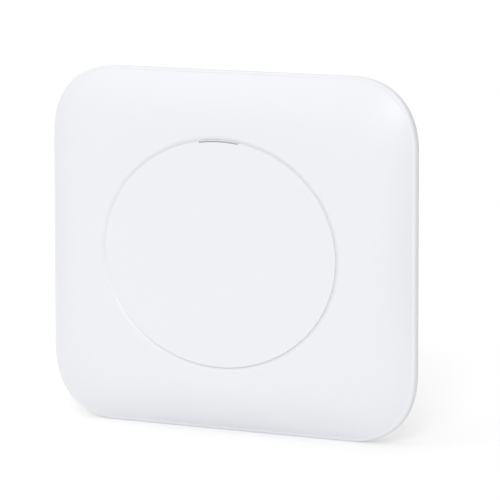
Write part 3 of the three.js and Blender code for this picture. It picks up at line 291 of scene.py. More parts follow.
corner = math.asin(PLATE_HALF_HEIGHT / PLATE_RADIUS)
plate_outline = circle(0, 0, PLATE_RADIUS, 40, -corner, corner)
plate_outline += circle(0, 0, PLATE_RADIUS, 40, math.pi - corner, math.pi + corner)
plate_outline += [
    (-THROAT_HALF, -PLATE_HALF_HEIGHT),
    (-THROAT_HALF, THROAT_TOP),
    (THROAT_HALF, THROAT_TOP),
    (THROAT_HALF, -PLATE_HALF_HEIGHT),
]
stud_circle = PLATE_RADIUS - STUD_EDGE
stud_head = -bracket_low.y - STUD_HEAD_THICKNESS
studs = []
for angle in STUD_ANGLES:
    x, z = stud_circle * math.cos(angle), stud_circle * math.sin(angle)
    studs += [
        post(x, z, STUD_NECK, PLATE - JOIN, stud_head + JOIN),
        post(x, z, STUD_HEAD, stud_head, stud_head + STUD_HEAD_THICKNESS),
    ]
holes = []
for side in (-1, 1):
    for z in (-WALL_SCREW_Z, WALL_SCREW_Z):
        holes.append(post(side * WALL_SCREW_X, z, SCREW_HOLE, -PAST, PLATE + PAST))
    ends = circle(side * BOX_SCREW_X + BOX_SLOT_REACH, 0, SCREW_HOLE, 20, -math.pi / 2, math.pi / 2)
    ends += circle(side * BOX_SCREW_X - BOX_SLOT_REACH, 0, SCREW_HOLE, 20, math.pi / 2, 1.5 * math.pi)
    holes.append(slab(ends, -PAST, PLATE + PAST))
holes.append(block(
    latch_low.x - WINDOW_GAP,
    latch_high.x + CONTACT,
    latch_low.z - WINDOW_GAP,
    latch_high.z + WINDOW_GAP,
    -PAST,
    PLATE + PAST,
))
channel = []
for side in (0, math.pi):
    sweep = (side - CHANNEL_SWEEP, side + CHANNEL_SWEEP)
    arc = circle(0, 0, PLATE_RADIUS - CHANNEL_INSET, 30, *sweep)
    arc += circle(0, 0, PLATE_RADIUS - CHANNEL_INSET - CHANNEL_WIDTH, 30, *sweep)[::-1]
    channel.append(slab(arc, -PAST, PLATE_GROOVE))
bracket = carve(slab(plate_outline, 0, PLATE), studs, holes + channel)
bracket.name = "bracket_plate"
soften(bracket, 0.3 * MM)


def shader_group(name, given, made):
    """A shader node group with one number to set and the masks or heights that it makes."""
    group = bpy.data.node_groups.new(name, "ShaderNodeTree")
    label, default = given
    group.interface.new_socket(label, in_out="INPUT", socket_type="NodeSocketFloat").default_value = default
    for label in made:
        group.interface.new_socket(label, in_out="OUTPUT", socket_type="NodeSocketFloat")
    return group, add_node(group, "NodeGroupInput"), add_node(group, "ShaderNodeTexCoord", out="Object")


def give_out(group, **results):
    end = group.nodes.new("NodeGroupOutput")
    for label, result in results.items():
        group.links.new(result, end.inputs[label])


# Fine moulded or cast grain: a height for bumps, and a mask of soft patches.
GRAIN, size, where = shader_group("surface_grain", ("Size", 0.0005), ("Height", "Mask"))
fineness = add_node(GRAIN, "ShaderNodeMath", {0: 1.0, 1: size}, operation="DIVIDE")
give_out(
    GRAIN,
    Height=add_node(GRAIN, "ShaderNodeTexNoise",
                    {"Vector": where, "Scale": fineness, "Detail": 3.0, "Roughness": 0.55}, "Fac"),
    Mask=add_node(GRAIN, "ShaderNodeTexNoise", {"Vector": where, "Scale": 22.0, "Detail": 4.0}, "Fac"),
)

# A mask of a piece's outer edges, broken up by noise, where handling polishes or chips it.
EDGE_WEAR, width, where = shader_group("edge_wear", ("Width", 0.0004), ("Edge",))
rounded = add_node(EDGE_WEAR, "ShaderNodeBevel", {"Radius": width}, samples=4)
plain = add_node(EDGE_WEAR, "ShaderNodeNewGeometry", out="Normal")
agree = add_node(EDGE_WEAR, "ShaderNodeVectorMath", {0: rounded, 1: plain}, "Value", operation="DOT_PRODUCT")
differ = add_node(EDGE_WEAR, "ShaderNodeMath", {0: 1.0, 1: agree}, operation="SUBTRACT")
breaks = add_node(EDGE_WEAR, "ShaderNodeTexNoise", {"Vector": where, "Scale": 260.0}, "Fac")
broken = add_node(EDGE_WEAR, "ShaderNodeMath", {0: differ, 1: breaks}, operation="MULTIPLY")
give_out(EDGE_WEAR, Edge=add_node(EDGE_WEAR, "ShaderNodeMapRange",
                                  {"Value": broken, "From Min": 0.01, "From Max": 0.16}, "Result"))


def mix_colors(tree, share, first, second):
    return add_node(tree, "ShaderNodeMix", {0: share, 6: first, 7: second}, 2, data_type="RGBA")


def finish(name, color, second, worn, roughness, spread, grain_size, grain_depth, metallic=0.0, edge=0.0004):
    """A material of two close colours in soft patches, with worn edges and a fine grain.

    roughness is its middle value and spread how far it varies; grain_size and grain_depth are in metres.
    """
    made = bpy.data.materials.new(name)
    made.use_nodes = True
    tree = made.node_tree
    shader = tree.nodes["Principled BSDF"]
    shader.inputs["Metallic"].default_value = metallic
    grain = tree.nodes.new("ShaderNodeGroup")
    grain.node_tree = GRAIN
    grain.inputs["Size"].default_value = grain_size
    height, mask = grain.outputs
    wear = add_node(tree, "ShaderNodeGroup", {"Width": edge}, "Edge", node_tree=EDGE_WEAR)
    patches = mix_colors(tree, mask, (*color, 1), (*second, 1))
    tree.links.new(mix_colors(tree, wear, patches, (*worn, 1)), shader.inputs["Base Color"])
    gloss = add_node(tree, "ShaderNodeMapRange", {
        "Value": mask, "From Min": 0.3, "From Max": 0.7,
        "To Min": roughness - spread, "To Max": roughness + spread,
    }, "Result")
    tree.links.new(gloss, shader.inputs["Roughness"])
    bump = add_node(tree, "ShaderNodeBump", {"Height": height, "Strength": 1.0, "Distance": grain_depth})
    tree.links.new(bump, shader.inputs["Normal"])
    return made


bracket_plastic = finish(
    "bracket_plastic", (0.60, 0.61, 0.63), (0.57, 0.58, 0.60), (0.70, 0.70, 0.71),
    0.55, 0.05, 0.0006, 0.00003,
)
dress(bracket, bracket_plastic, "bracket", "bracket_plastic", "mounting_bracket")

# ---------------------------------------------------------------- latch arm
# A sprung arm in the plate's window, moulded with the plate. The bump near its free end holds the unit
# from turning back, and a finger pad of three ribs lets a thumb push it down.

ARM = 1.5 * MM
BUMP_RADIUS = 2.0 * MM
RIB_START = 4.0 * MM  # of the first rib past the bump's middle
RIB_PITCH = 2.0 * MM
RIB_WIDTH = 0.8 * MM
RIB_HALF_LENGTH = 2.4 * MM
RIB_HEIGHT = 0.35 * MM

latch = block(latch_low.x, latch_high.x, latch_low.z, latch_high.z, PLATE - ARM, PLATE)
bump_x = latch_low.x + BUMP_RADIUS + MM
bump_z = middle_of("latch_arm")[2]
ribs = []
for i in range(3):
    rib_x = bump_x + RIB_START + i * RIB_PITCH
    ribs.append(block(rib_x, rib_x + RIB_WIDTH, bump_z - RIB_HALF_LENGTH, bump_z + RIB_HALF_LENGTH,
                      PLATE - CONTACT, PLATE + RIB_HEIGHT))
carve(latch, [post(bump_x, bump_z, BUMP_RADIUS, PLATE - JOIN, -latch_low.y), *ribs])
latch.name = "latch_tongue"
soften(latch, 0.25 * MM)
dress(latch, bracket_plastic, "latch", "bracket_plastic", "latch_arm")

# ---------------------------------------------------------------- rear housing
# The white shell behind the seam: a flat back inside a low lip, and a side that swells out to the seam.
# It carries the keyholes, vents, port bay and cable notch, and inside, the posts that hold the rest.

cover_low, cover_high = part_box("front_cover")
WIDTH = cover_high.x - cover_low.x
HEIGHT = cover_high.z - cover_low.z
CROWN_FRONT = -cover_low.y
CORNER_RADIUS = 37.6 * MM
CORNER_POWER = 2.33
WALL = 2.0 * MM
BACK_INSET = 21.0 * MM
BACK_CORNER = 27.0 * MM
SIDE_POWER = 1.55
SEAM_INSET = 0.9 * MM
FLAT_BACK = 4.0 * MM
FLOOR = 6.0 * MM
RIM_BAND = 2.7 * MM
RIM_ROUND = 1.6 * MM
DOME_RISE = 12.0 * MM
CROWN = 0.5 * MM
GROOVE_LEVEL = CROWN_FRONT - CROWN
RIM_FRONT = GROOVE_LEVEL - DOME_RISE
RIM_BACK = RIM_FRONT - RIM_ROUND - RIM_BAND
SIDE_TOP = RIM_BACK - CONTACT
LIP_BACK = -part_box("rear_housing")[1].y
TONGUE = 1.2 * MM
BOARD_BACK = 22.7 * MM
BOARD_FRONT = 24.3 * MM
TWIST = math.radians(15)
CORNER_STEPS = 40
SIDE_STEPS = 24


def rounded_outline(half_width, half_height, radius):
    """Points round a rectangle with superellipse corners, anticlockwise as one faces the cover."""
    points = []
    reach_x, reach_z = half_width - radius, half_height - radius
    for quarter in range(4):
        sign_x = 1 if quarter in (0, 3) else -1
        sign_z = 1 if quarter < 2 else -1
        for i in range(CORNER_STEPS + 1):
            angle = math.radians(90 * (quarter + i / CORNER_STEPS))
            c = abs(math.cos(angle)) ** (2 / CORNER_POWER)
            s = abs(math.sin(angle)) ** (2 / CORNER_POWER)
            points.append((sign_x * (reach_x + radius * c), sign_z * (reach_z + radius * s)))
        x, z = points[-1]
        dx, dz = (-2 * sign_x * reach_x, 0) if quarter % 2 == 0 else (0, -2 * sign_z * reach_z)
        for i in range(1, SIDE_STEPS):
            points.append((x + dx * i / SIDE_STEPS, z + dz * i / SIDE_STEPS))
    return points


def rim_outline(inset):
    return rounded_outline(WIDTH / 2 - inset, HEIGHT / 2 - inset, CORNER_RADIUS - inset)


def between(first, second, share):
    return [(x + (u - x) * share, z + (v - z) * share) for (x, z), (u, v) in zip(first, second)]


def at_level(points, level):
    return [Vector((x, -level, z)) for x, z in points]


def skin(name, rings):
    """A closed skin through rings of equal counts, capped flat at both ends."""
    count = len(rings[0])
    faces = [tuple(reversed(range(count))), tuple((len(rings) - 1) * count + i for i in range(count))]
    for r in range(len(rings) - 1):
        for i in range(count):
            j = (i + 1) % count
            faces.append((r * count + i, r * count + j, (r + 1) * count + j, (r + 1) * count + i))
    mesh = bpy.data.meshes.new(name)
    mesh.from_pydata([v for ring in rings for v in ring], [], faces)
    set_outwards(mesh)
    return new_object(name, mesh)


BACK_HALF_WIDTH = WIDTH / 2 - BACK_INSET
BACK_HALF_HEIGHT = HEIGHT / 2 - BACK_INSET


def side_ring(share, inward):
    flat = rounded_outline(BACK_HALF_WIDTH - inward, BACK_HALF_HEIGHT - inward, BACK_CORNER - inward)
    seam = rim_outline(SEAM_INSET + inward)
    level = LIP_BACK + (SIDE_TOP - LIP_BACK) * share
    return at_level(between(seam, flat, (1 - share) ** SIDE_POWER), level)


side_shares = [i / 16 for i in range(17)]
housing = skin("rear_housing_shell", [side_ring(s, 0) for s in side_shares])
hollow = skin("hollow", [side_ring(s, WALL) for s in side_shares] + [
    at_level(rim_outline(SEAM_INSET + WALL), SIDE_TOP + PAST)])
carve(hollow, [], [block(-WIDTH, WIDTH, -HEIGHT, HEIGHT, -PAST, FLOOR)])
tray_outline = rounded_outline(BACK_HALF_WIDTH - WALL, BACK_HALF_HEIGHT - WALL, BACK_CORNER - WALL)
tray = skin("tray", [at_level(tray_outline, LIP_BACK - PAST), at_level(tray_outline, FLAT_BACK)])

tongue_outer = WALL + CONTACT
tongue_top = RIM_BACK + RIM_BAND - WALL / 2 - CONTACT
tongue, tongue_room = [
    skin("tongue", [at_level(rim_outline(inset), level)
                    for level in (SIDE_TOP - WALL - past, tongue_top + past)])
    for inset, past in ((tongue_outer, 0), (tongue_outer + TONGUE, PAST))
]
carve(tongue, [], [tongue_room])

SCREW_X, _, SCREW_Z = middle_of("housing_screw_4")
STANDOFF_X, _, STANDOFF_Z = middle_of("board_screw_4")
BOSS_RADIUS = 4.2 * MM
STANDOFF_RADIUS = 3.5 * MM
SCREW_ACCESS = 3.05 * MM
SCREW_CLEARANCE = 1.7 * MM
PILOT_RADIUS = 1.55 * MM
PILOT_DEPTH = 7.0 * MM
FOUR = [(sx, sz) for sx in (-1, 1) for sz in (-1, 1)]
SHELF = FLAT_BACK + 7 * MM
SHELF_FRONT = SHELF + 2.5 * MM
BAY_HALF = 27.6 * MM
BAY_TOP = -30 * MM
BAY_END = -HEIGHT / 2 + 12.75 * MM
BAY_ROOF = BOARD_BACK - CONTACT - WALL
NOTCH_HALF = 12 * MM
NOTCH_TOP = LIP_BACK + 9 * MM
MOUTH_END = -BACK_HALF_HEIGHT + 2 * WALL


def four_posts(x, z, radius, low, high, steps=ROUND_STEPS):
    return [post(sx * x, sz * z, radius, low, high, steps) for sx, sz in FOUR]


inside_posts = four_posts(SCREW_X, SCREW_Z, BOSS_RADIUS, FLAT_BACK, SHELF_FRONT)
inside_posts += four_posts(STANDOFF_X, STANDOFF_Z, STANDOFF_RADIUS, FLAT_BACK, BOARD_BACK - CONTACT)
within = skin("within", [side_ring(s, 0) for s in side_shares])
carve(within, [block(-WIDTH / 4, WIDTH / 4, -HEIGHT / 2 + 5 * MM, 0, SIDE_TOP - WALL, BAY_ROOF + WALL)])
bay_walls = block(-BAY_HALF - WALL, BAY_HALF + WALL, BAY_END - WALL, BAY_TOP + WALL,
                  FLAT_BACK, BAY_ROOF + WALL)
notch_frame = block(-NOTCH_HALF - WALL, NOTCH_HALF + WALL, -HEIGHT / 2, BAY_END, FLAT_BACK, NOTCH_TOP + WALL)
carve(bay_walls, [notch_frame], limits=[within])
bay_room = block(-BAY_HALF, BAY_HALF, BAY_END, BAY_TOP, FLOOR, BAY_ROOF)
carve(bay_room, limits=[new_object("room", hollow.data.copy())])

CLIP_INSET = 1.8 * MM  # of a clip's middle from the antenna's end
CLIP_ACROSS = 2.8 * MM
CLIP_ALONG = 1.8 * MM
CLIP_HEIGHT = 7.0 * MM
CLIP_SLOT = 0.8 * MM

clips = []
for name, upright in (("upper_left", False), ("upper_right", False), ("left", True), ("right", True)):
    low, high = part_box("antenna_" + name)
    middle_x, _, middle_z = middle_of("antenna_" + name)
    reach = (high.z - low.z if upright else high.x - low.x) / 2 - CLIP_INSET
    for side in (-1, 1):
        x, z = (middle_x, middle_z + side * reach) if upright else (middle_x + side * reach, middle_z)
        half_x, half_z = (CLIP_ACROSS, CLIP_ALONG) if upright else (CLIP_ALONG, CLIP_ACROSS)
        gap_x, gap_z = (CLIP_SLOT, 3 * MM) if upright else (3 * MM, CLIP_SLOT)
        clip = block(x - half_x, x + half_x, z - half_z, z + half_z, FLOOR - JOIN, FLOOR + CLIP_HEIGHT)
        slot = block(x - gap_x, x + gap_x, z - gap_z, z + gap_z, FLOOR, FLOOR + CLIP_HEIGHT + PAST)
        clips.append(carve(clip, [], [slot]))

STUD_CLEARANCE = 0.4 * MM
KEYHOLE_SLOT = STUD_NECK + STUD_CLEARANCE
KEYHOLE_ENTRY = STUD_HEAD + STUD_CLEARANCE
THROUGH = (FLAT_BACK - PAST, FLOOR + PAST)  # the levels of a cut right through the flat back
cuts = []
for angle in STUD_ANGLES:
    sweep = circle(0, 0, stud_circle + KEYHOLE_SLOT, 24, angle - TWIST, angle)
    sweep += circle(0, 0, stud_circle - KEYHOLE_SLOT, 24, angle - TWIST, angle)[::-1]
    cuts.append(slab(sweep, *THROUGH))
    for turn, radius in ((0, KEYHOLE_SLOT), (TWIST, KEYHOLE_ENTRY)):
        x, z = stud_circle * math.cos(angle - turn), stud_circle * math.sin(angle - turn)
        cuts.append(post(x, z, radius, *THROUGH))

jack_low, jack_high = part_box("ethernet_jack_poe")
lan_low, lan_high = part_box("ethernet_jack_lan")
power_low, power_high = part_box("power_jack")
reset_low, reset_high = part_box("reset_button")
for low, high in ((jack_low, jack_high), (lan_low, lan_high), (power_low, power_high)):
    cuts.append(block(low.x - CONTACT, high.x + CONTACT, BAY_TOP - CONTACT / 2, high.z + CONTACT,
                      -high.y - CONTACT, BAY_ROOF + WALL + PAST))
RESET_X, reset_y, _ = middle_of("reset_button")
PINHOLE = 1.5 * MM


def rod(x, level, radius, z0, z1, steps=ROUND_STEPS):
    """A round bar that runs up and down."""
    made = post(0, 0, radius, z0, z1, steps)
    made.data.transform(Matrix.Translation((x, -level, 0)) @ Matrix.Rotation(math.radians(-90), 4, "X"))
    set_outwards(made.data)
    return made


cuts.append(rod(RESET_X, -reset_y, PINHOLE, BAY_TOP - PAST, BAY_TOP + WALL + PAST, 32))
cuts.append(block(-BAY_HALF, BAY_HALF, MOUTH_END, BAY_TOP, LIP_BACK - PAST, BAY_ROOF))
cuts.append(block(-NOTCH_HALF, NOTCH_HALF, -HEIGHT / 2, MOUTH_END + PAST, LIP_BACK - PAST, NOTCH_TOP))
for sx, sz in FOUR:
    cuts.append(post(sx * SCREW_X, sz * SCREW_Z, SCREW_ACCESS, LIP_BACK - PAST, SHELF))
    cuts.append(post(sx * SCREW_X, sz * SCREW_Z, SCREW_CLEARANCE, SHELF - PAST, SHELF_FRONT + PAST))
    cuts.append(post(sx * STANDOFF_X, sz * STANDOFF_Z, PILOT_RADIUS, BOARD_FRONT - PILOT_DEPTH, BOARD_FRONT))
LOCK_HALF = 3.5 * MM
LOCK_FRONT = SIDE_TOP - 3 * MM
LOCK_BACK = LOCK_FRONT - 3 * MM
cuts.append(block(BACK_HALF_WIDTH, WIDTH / 2 + PAST, -LOCK_HALF, LOCK_HALF, LOCK_BACK, LOCK_FRONT))
label_low, label_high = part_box("rating_label")
LABEL_POCKET = 0.6 * MM
cuts.append(block(label_low.x - CONTACT, label_high.x + CONTACT,
                  label_low.z - CONTACT, label_high.z + CONTACT,
                  FLAT_BACK - PAST, FLAT_BACK + LABEL_POCKET))

VENT_HALF_WIDTH = 1.0 * MM
VENT_HALF_LENGTH = 6.0 * MM
VENT_PITCH = 4.6 * MM
VENT_Z = BACK_HALF_HEIGHT - WALL - 7.5 * MM - VENT_HALF_LENGTH


class Recipe:
    """A Geometry Nodes tree with named inputs, which ends in Realize Instances and Set Material."""

    def __init__(self, name, **defaults):
        self.tree = bpy.data.node_groups.new(name, "GeometryNodeTree")
        face = self.tree.interface
        face.new_socket("Geometry", in_out="OUTPUT", socket_type="NodeSocketGeometry")
        self.identifiers = {}
        for key, value in {**defaults, "material": None}.items():
            kind = {float: "Float", int: "Int", type(None): "Material"}[type(value)]
            socket = face.new_socket(key, in_out="INPUT", socket_type="NodeSocket" + kind)
            if value is not None:
                socket.default_value = value
            self.identifiers[key] = socket.identifier
        self.given = self.tree.nodes.new("NodeGroupInput").outputs

    def add(self, kind, inputs=None, out=0, **settings):
        return add_node(self.tree, kind, inputs, out, **settings)

    def maths(self, operation, first, second):
        return self.add("ShaderNodeMath", {0: first, 1: second}, operation=operation)

    def vector(self, x=0.0, y=0.0, z=0.0):
        return self.add("ShaderNodeCombineXYZ", {"X": x, "Y": y, "Z": z})

    def join(self, *shapes):
        both = self.tree.nodes.new("GeometryNodeJoinGeometry")
        for shape in shapes:
            self.tree.links.new(shape, both.inputs[0])
        return both.outputs[0]

    def paint(self, shape, material):
        return self.add("GeometryNodeSetMaterial", {"Geometry": shape, "Material": material})

    def close(self, shape, paint=True):
        shape = self.add("GeometryNodeRealizeInstances", {"Geometry": shape})
        if paint:
            shape = self.paint(shape, self.given["material"])
        self.tree.links.new(shape, self.tree.nodes.new("NodeGroupOutput").inputs[0])

    def grow(self, name, **values):
        """An object that the tree makes with these inputs, turned into a plain mesh."""
        made = new_object(name, bpy.data.meshes.new(name))
        modifier = made.modifiers.new(name, "NODES")
        modifier.node_group = self.tree
        for key, value in values.items():
            modifier[self.identifiers[key]] = value
        apply_modifiers(made)
        return made


FORWARD = Matrix.Rotation(math.radians(90), 4, "X")  # turns an upright axis out of the ceiling

vents = Recipe("vent_row", count=6, pitch=0.0046, half_width=0.001, half_length=0.006, depth=0.004,
               start=0.02, height=0.05, side=1.0)
vent_outline = vents.add("GeometryNodeCurvePrimitiveQuadrilateral", {
    "Width": vents.maths("MULTIPLY", vents.given["half_width"], 2.0),
    "Height": vents.maths("MULTIPLY", vents.given["half_length"], 2.0),
})
vent_outline = vents.add("GeometryNodeFilletCurve", {
    "Curve": vent_outline, "Count": 7, "Radius": vents.maths("MULTIPLY", vents.given["half_width"], 0.98),
}, mode="POLY")
vent_plate = vents.add("GeometryNodeFillCurve", {"Curve": vent_outline}, mode="NGONS")
vent_front = vents.add("GeometryNodeExtrudeMesh", {
    "Mesh": vent_plate, "Offset": vents.vector(z=vents.given["depth"]), "Offset Scale": 1.0,
    "Individual": False,
})
vent_back = vents.add("GeometryNodeFlipFaces", {"Mesh": vent_plate})
vent_solid = vents.add("GeometryNodeMergeByDistance", {
    "Geometry": vents.join(vent_back, vent_front), "Distance": 0.00001})
vent_line = vents.add("GeometryNodeMeshLine", {
    "Count": vents.given["count"],
    "Start Location": vents.vector(
        vents.maths("MULTIPLY", vents.given["start"], vents.given["side"]), vents.given["height"]),
    "Offset": vents.vector(vents.maths("MULTIPLY", vents.given["pitch"], vents.given["side"])),
})
vents.close(vents.add("GeometryNodeInstanceOnPoints", {"Points": vent_line, "Instance": vent_solid}))

housing_plastic = finish(
    "housing_plastic", (0.80, 0.805, 0.82), (0.785, 0.79, 0.805), (0.84, 0.84, 0.85),
    0.5, 0.04, 0.0007, 0.000035,
)
for start, height in ((label_high.x + VENT_PITCH, VENT_Z), (BAY_HALF + WALL + VENT_PITCH, -VENT_Z)):
    for side in (-1.0, 1.0):
        row = vents.grow(
            "vents", count=int((SCREW_X - BOSS_RADIUS - start) / VENT_PITCH), pitch=VENT_PITCH,
            half_width=VENT_HALF_WIDTH, half_length=VENT_HALF_LENGTH, depth=THROUGH[1] - THROUGH[0],
            start=start, height=height, side=side, material=housing_plastic,
        )
        row.data.transform(Matrix.Translation((0, -THROUGH[0], 0)) @ FORWARD)
        set_outwards(row.data)
        cuts.append(row)

carve(housing, [], [hollow, tray])
carve(housing, [tongue, bay_walls, *inside_posts, *clips], [bay_room, *cuts])
soften(housing, 0.3 * MM, 38)
dress(housing, housing_plastic, "unit", "housing_plastic", "rear_housing")

# ---------------------------------------------------------------- rating label
# A blank silver film with round corners, stuck in a shallow pocket in the housing's back between the
# upper vents.


def rounded_plate(name, x0, x1, z0, z1, radius, low, high):
    outline = []
    for x, z, start in ((x1 - radius, z1 - radius, 0), (x0 + radius, z1 - radius, 90),
                        (x0 + radius, z0 + radius, 180), (x1 - radius, z0 + radius, 270)):
        outline += circle(x, z, radius, 6, math.radians(start), math.radians(start + 90))
    made = slab(outline, low, high)
    made.name = name
    return made


label_film = finish(
    "label_film", (0.70, 0.71, 0.72), (0.66, 0.67, 0.69), (0.80, 0.80, 0.80),
    0.34, 0.06, 0.0004, 0.00001, edge=0.0002,
)
label = rounded_plate("label_sheet", label_low.x, label_high.x, label_low.z, label_high.z, 1.2 * MM,
                      -label_high.y, -label_low.y)
soften(label, 0.06 * MM)
dress(label, label_film, "unit", "label_film", "rating_label")

# ---------------------------------------------------------------- network jacks
# Two black moulded sockets on the board's ceiling side, which face down into the port bay. One also
# brings the power. Each has a slot for the plug's spring tab and two small lamps beside it.

SOCKET_HALF = 5.95 * MM
SOCKET_SILL = 3.1 * MM
SOCKET_HEIGHT = 6.9 * MM
SOCKET_DEPTH = 13.0 * MM
TAB_HALF = 3.1 * MM
TAB_DEPTH = 1.5 * MM
LAMP_SIDE = 4.6 * MM  # of a lamp's middle from the jack's
LAMP_RISE = 1.5 * MM
LAMP_HALF = (0.85 * MM, 0.65 * MM)
LAMP_DEPTH = 0.45 * MM
POCKET_HALF = (1.0 * MM, 0.8 * MM)
POCKET_DEPTH = 0.5 * MM


def small_block(x, level, half, z0, z1):
    return block(x - half[0], x + half[0], z0, z1, level - half[1], level + half[1])


black_plastic = finish(
    "black_plastic", (0.022, 0.023, 0.026), (0.030, 0.031, 0.034), (0.07, 0.07, 0.075),
    0.46, 0.06, 0.0005, 0.00002, edge=0.0003,
)
lamp_lens = finish(
    "lamp_lens", (0.30, 0.42, 0.22), (0.26, 0.38, 0.20), (0.40, 0.50, 0.30),
    0.22, 0.03, 0.0004, 0.000006, edge=0.0002,
)
for name, low, high in (("poe", jack_low, jack_high), ("lan", lan_low, lan_high)):
    middle = (low.x + high.x) / 2
    near = -high.y
    floor_level = near + SOCKET_SILL
    body = block(low.x, high.x, low.z, high.z, near, -low.y)
    lamps_at = [(middle + side * LAMP_SIDE, near + LAMP_RISE) for side in (-1, 1)]
    carve(body, [], [
        block(middle - SOCKET_HALF, middle + SOCKET_HALF, low.z - PAST, low.z + SOCKET_DEPTH, floor_level,
              floor_level + SOCKET_HEIGHT),
        block(middle - TAB_HALF, middle + TAB_HALF, low.z - PAST, low.z + SOCKET_DEPTH - PAST,
              floor_level - TAB_DEPTH, floor_level + PAST),
        *[small_block(*at, POCKET_HALF, low.z - PAST, low.z + POCKET_DEPTH) for at in lamps_at],
    ])
    body.name = "jack_body_" + name
    soften(body, 0.18 * MM)
    dress(body, black_plastic, "unit", "black_plastic", "ethernet_jack_" + name)
    first, second = [small_block(*at, LAMP_HALF, low.z, low.z + LAMP_DEPTH) for at in lamps_at]
    lamps = carve(first, [second])
    lamps.name = "jack_lamps_" + name
    soften(lamps, 0.12 * MM)
    dress(lamps, lamp_lens, "unit", "light_guide_plastic")

# ---------------------------------------------------------------- jack contacts
# Eight gilt spring wires in each socket, in a row at one pitch. They leave a moulded comb at the
# socket's back and lean down to meet the plug's blades.

WIRE_PITCH = 1.02 * MM
WIRE_COUNT = 8
WIRE_RADIUS = 0.2 * MM
WIRE_ROOT = 0.3 * MM
WIRE_DROP = 0.5 * MM
WIRE_LEVEL = 0.7 * MM  # of the wires' roots behind the comb's front
COMB_LENGTH = 2.0 * MM

contact_metal = finish(
    "contact_metal", (0.78, 0.56, 0.22), (0.74, 0.52, 0.20), (0.86, 0.66, 0.34),
    0.24, 0.04, 0.0003, 0.000004, metallic=1.0, edge=0.0001,
)
comb = Recipe("contact_comb", count=8, pitch=0.001, radius=0.0002, length=0.007, drop=0.0005)
wire_path = comb.add("GeometryNodeCurveQuadraticBezier", {
    "Resolution": 8,
    "Start": comb.vector(),
    "Middle": comb.vector(z=comb.maths("MULTIPLY", comb.given["length"], -0.55)),
    "End": comb.vector(y=comb.given["drop"], z=comb.maths("MULTIPLY", comb.given["length"], -1.0)),
})
wire_round = comb.add("GeometryNodeCurvePrimitiveCircle", {"Resolution": 8, "Radius": comb.given["radius"]})
wire = comb.add("GeometryNodeCurveToMesh", {
    "Curve": wire_path, "Profile Curve": wire_round, "Fill Caps": True,
})
span = comb.maths("MULTIPLY", comb.given["pitch"], comb.maths("SUBTRACT", comb.given["count"], 1.0))
wire_row = comb.add("GeometryNodeMeshLine", {
    "Count": comb.given["count"],
    "Start Location": comb.vector(x=comb.maths("MULTIPLY", span, -0.5)),
    "Offset": comb.vector(x=comb.given["pitch"]),
})
comb.close(comb.add("GeometryNodeInstanceOnPoints", {"Points": wire_row, "Instance": wire}))

for name, low, high in (("poe", jack_low, jack_high), ("lan", lan_low, lan_high)):
    middle = (low.x + high.x) / 2
    contact_low, contact_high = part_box("jack_contacts_" + name)
    comb_start = contact_high.z - COMB_LENGTH
    level = -contact_low.y - WIRE_LEVEL
    wires = comb.grow("contact_wires_" + name, count=WIRE_COUNT, pitch=WIRE_PITCH, radius=WIRE_RADIUS,
                      length=comb_start + WIRE_ROOT - contact_low.z, drop=WIRE_DROP, material=contact_metal)
    wires.data.transform(Matrix.Translation((middle, -level, comb_start + WIRE_ROOT)))
    wires.data.shade_smooth()
    dress(wires, contact_metal, "unit", "contact_metal", "jack_contacts_" + name)
    carrier = block(contact_low.x, contact_high.x, comb_start, contact_high.z,
                    -contact_high.y, -contact_low.y)
    carrier.name = "contact_carrier_" + name
    soften(carrier, 0.12 * MM)
    dress(carrier, black_plastic, "unit", "black_plastic")

# ---------------------------------------------------------------- power jack and reset
# A black barrel socket with a plated pin for a mains adapter, and beside it, behind a pinhole in the
# bay's wall, a small switch with a sprung grey button.


def turned(name, profile, place, steps=32):
    """A turned piece from (radius, distance) pairs along an axis that `place` moves from the upright."""
    rings = [[place @ Vector((x, y, along)) for x, y in circle(0, 0, radius, steps)]
             for radius, along in profile]
    made = skin(name, rings)
    made.data.shade_smooth()
    made.data.set_sharp_from_angle(angle=math.radians(38))
    return made


BARREL_RADIUS = 3.2 * MM
BARREL_DEPTH = 9.5 * MM

power_body = block(power_low.x, power_high.x, power_low.z, power_high.z, -power_high.y, -power_low.y)
power_x, power_y, _ = middle_of("power_jack")
carve(power_body, [], [rod(power_x, -power_y, BARREL_RADIUS, power_low.z - PAST, power_low.z + BARREL_DEPTH)])
power_body.name = "power_jack_body"
soften(power_body, 0.25 * MM)
dress(power_body, black_plastic, "unit", "black_plastic", "power_jack")

pin_low, pin_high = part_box("power_jack_pin")
pin_radius = (pin_high.x - pin_low.x) / 2
pin_end = pin_high.z - pin_low.z
pin = turned("power_pin", [(0.25 * pin_radius, 0), (0.7 * pin_radius, 0.12 * pin_radius),
                           (0.94 * pin_radius, 0.45 * pin_radius), (pin_radius, pin_radius),
                           (pin_radius, pin_end)],
             Matrix.Translation((*middle_of("power_jack_pin")[:2], pin_low.z)), 24)
dress(pin, contact_metal, "unit", "contact_metal", "power_jack_pin")


def refined(node, name, width, angle):
    """A node's own shape with its triangles joined and its edges rounded."""
    mesh = nodes[node].data.copy()
    shape = bmesh.new()
    shape.from_mesh(mesh)
    bmesh.ops.remove_doubles(shape, verts=shape.verts, dist=0.000001)
    bmesh.ops.dissolve_limit(shape, angle_limit=math.radians(1), verts=shape.verts, edges=shape.edges)
    shape.to_mesh(mesh)
    shape.free()
    made = new_object(name, mesh)
    if width:
        soften(made, width, angle)
    else:
        made.data.shade_smooth()
        made.data.set_sharp_from_angle(angle=math.radians(angle))
    return made


def finer(node, name, width, material, slot, angle=40):
    """The unit's own node with its edges rounded and its material on."""
    return dress(refined(node, name, width, angle), material, "unit", slot, node)


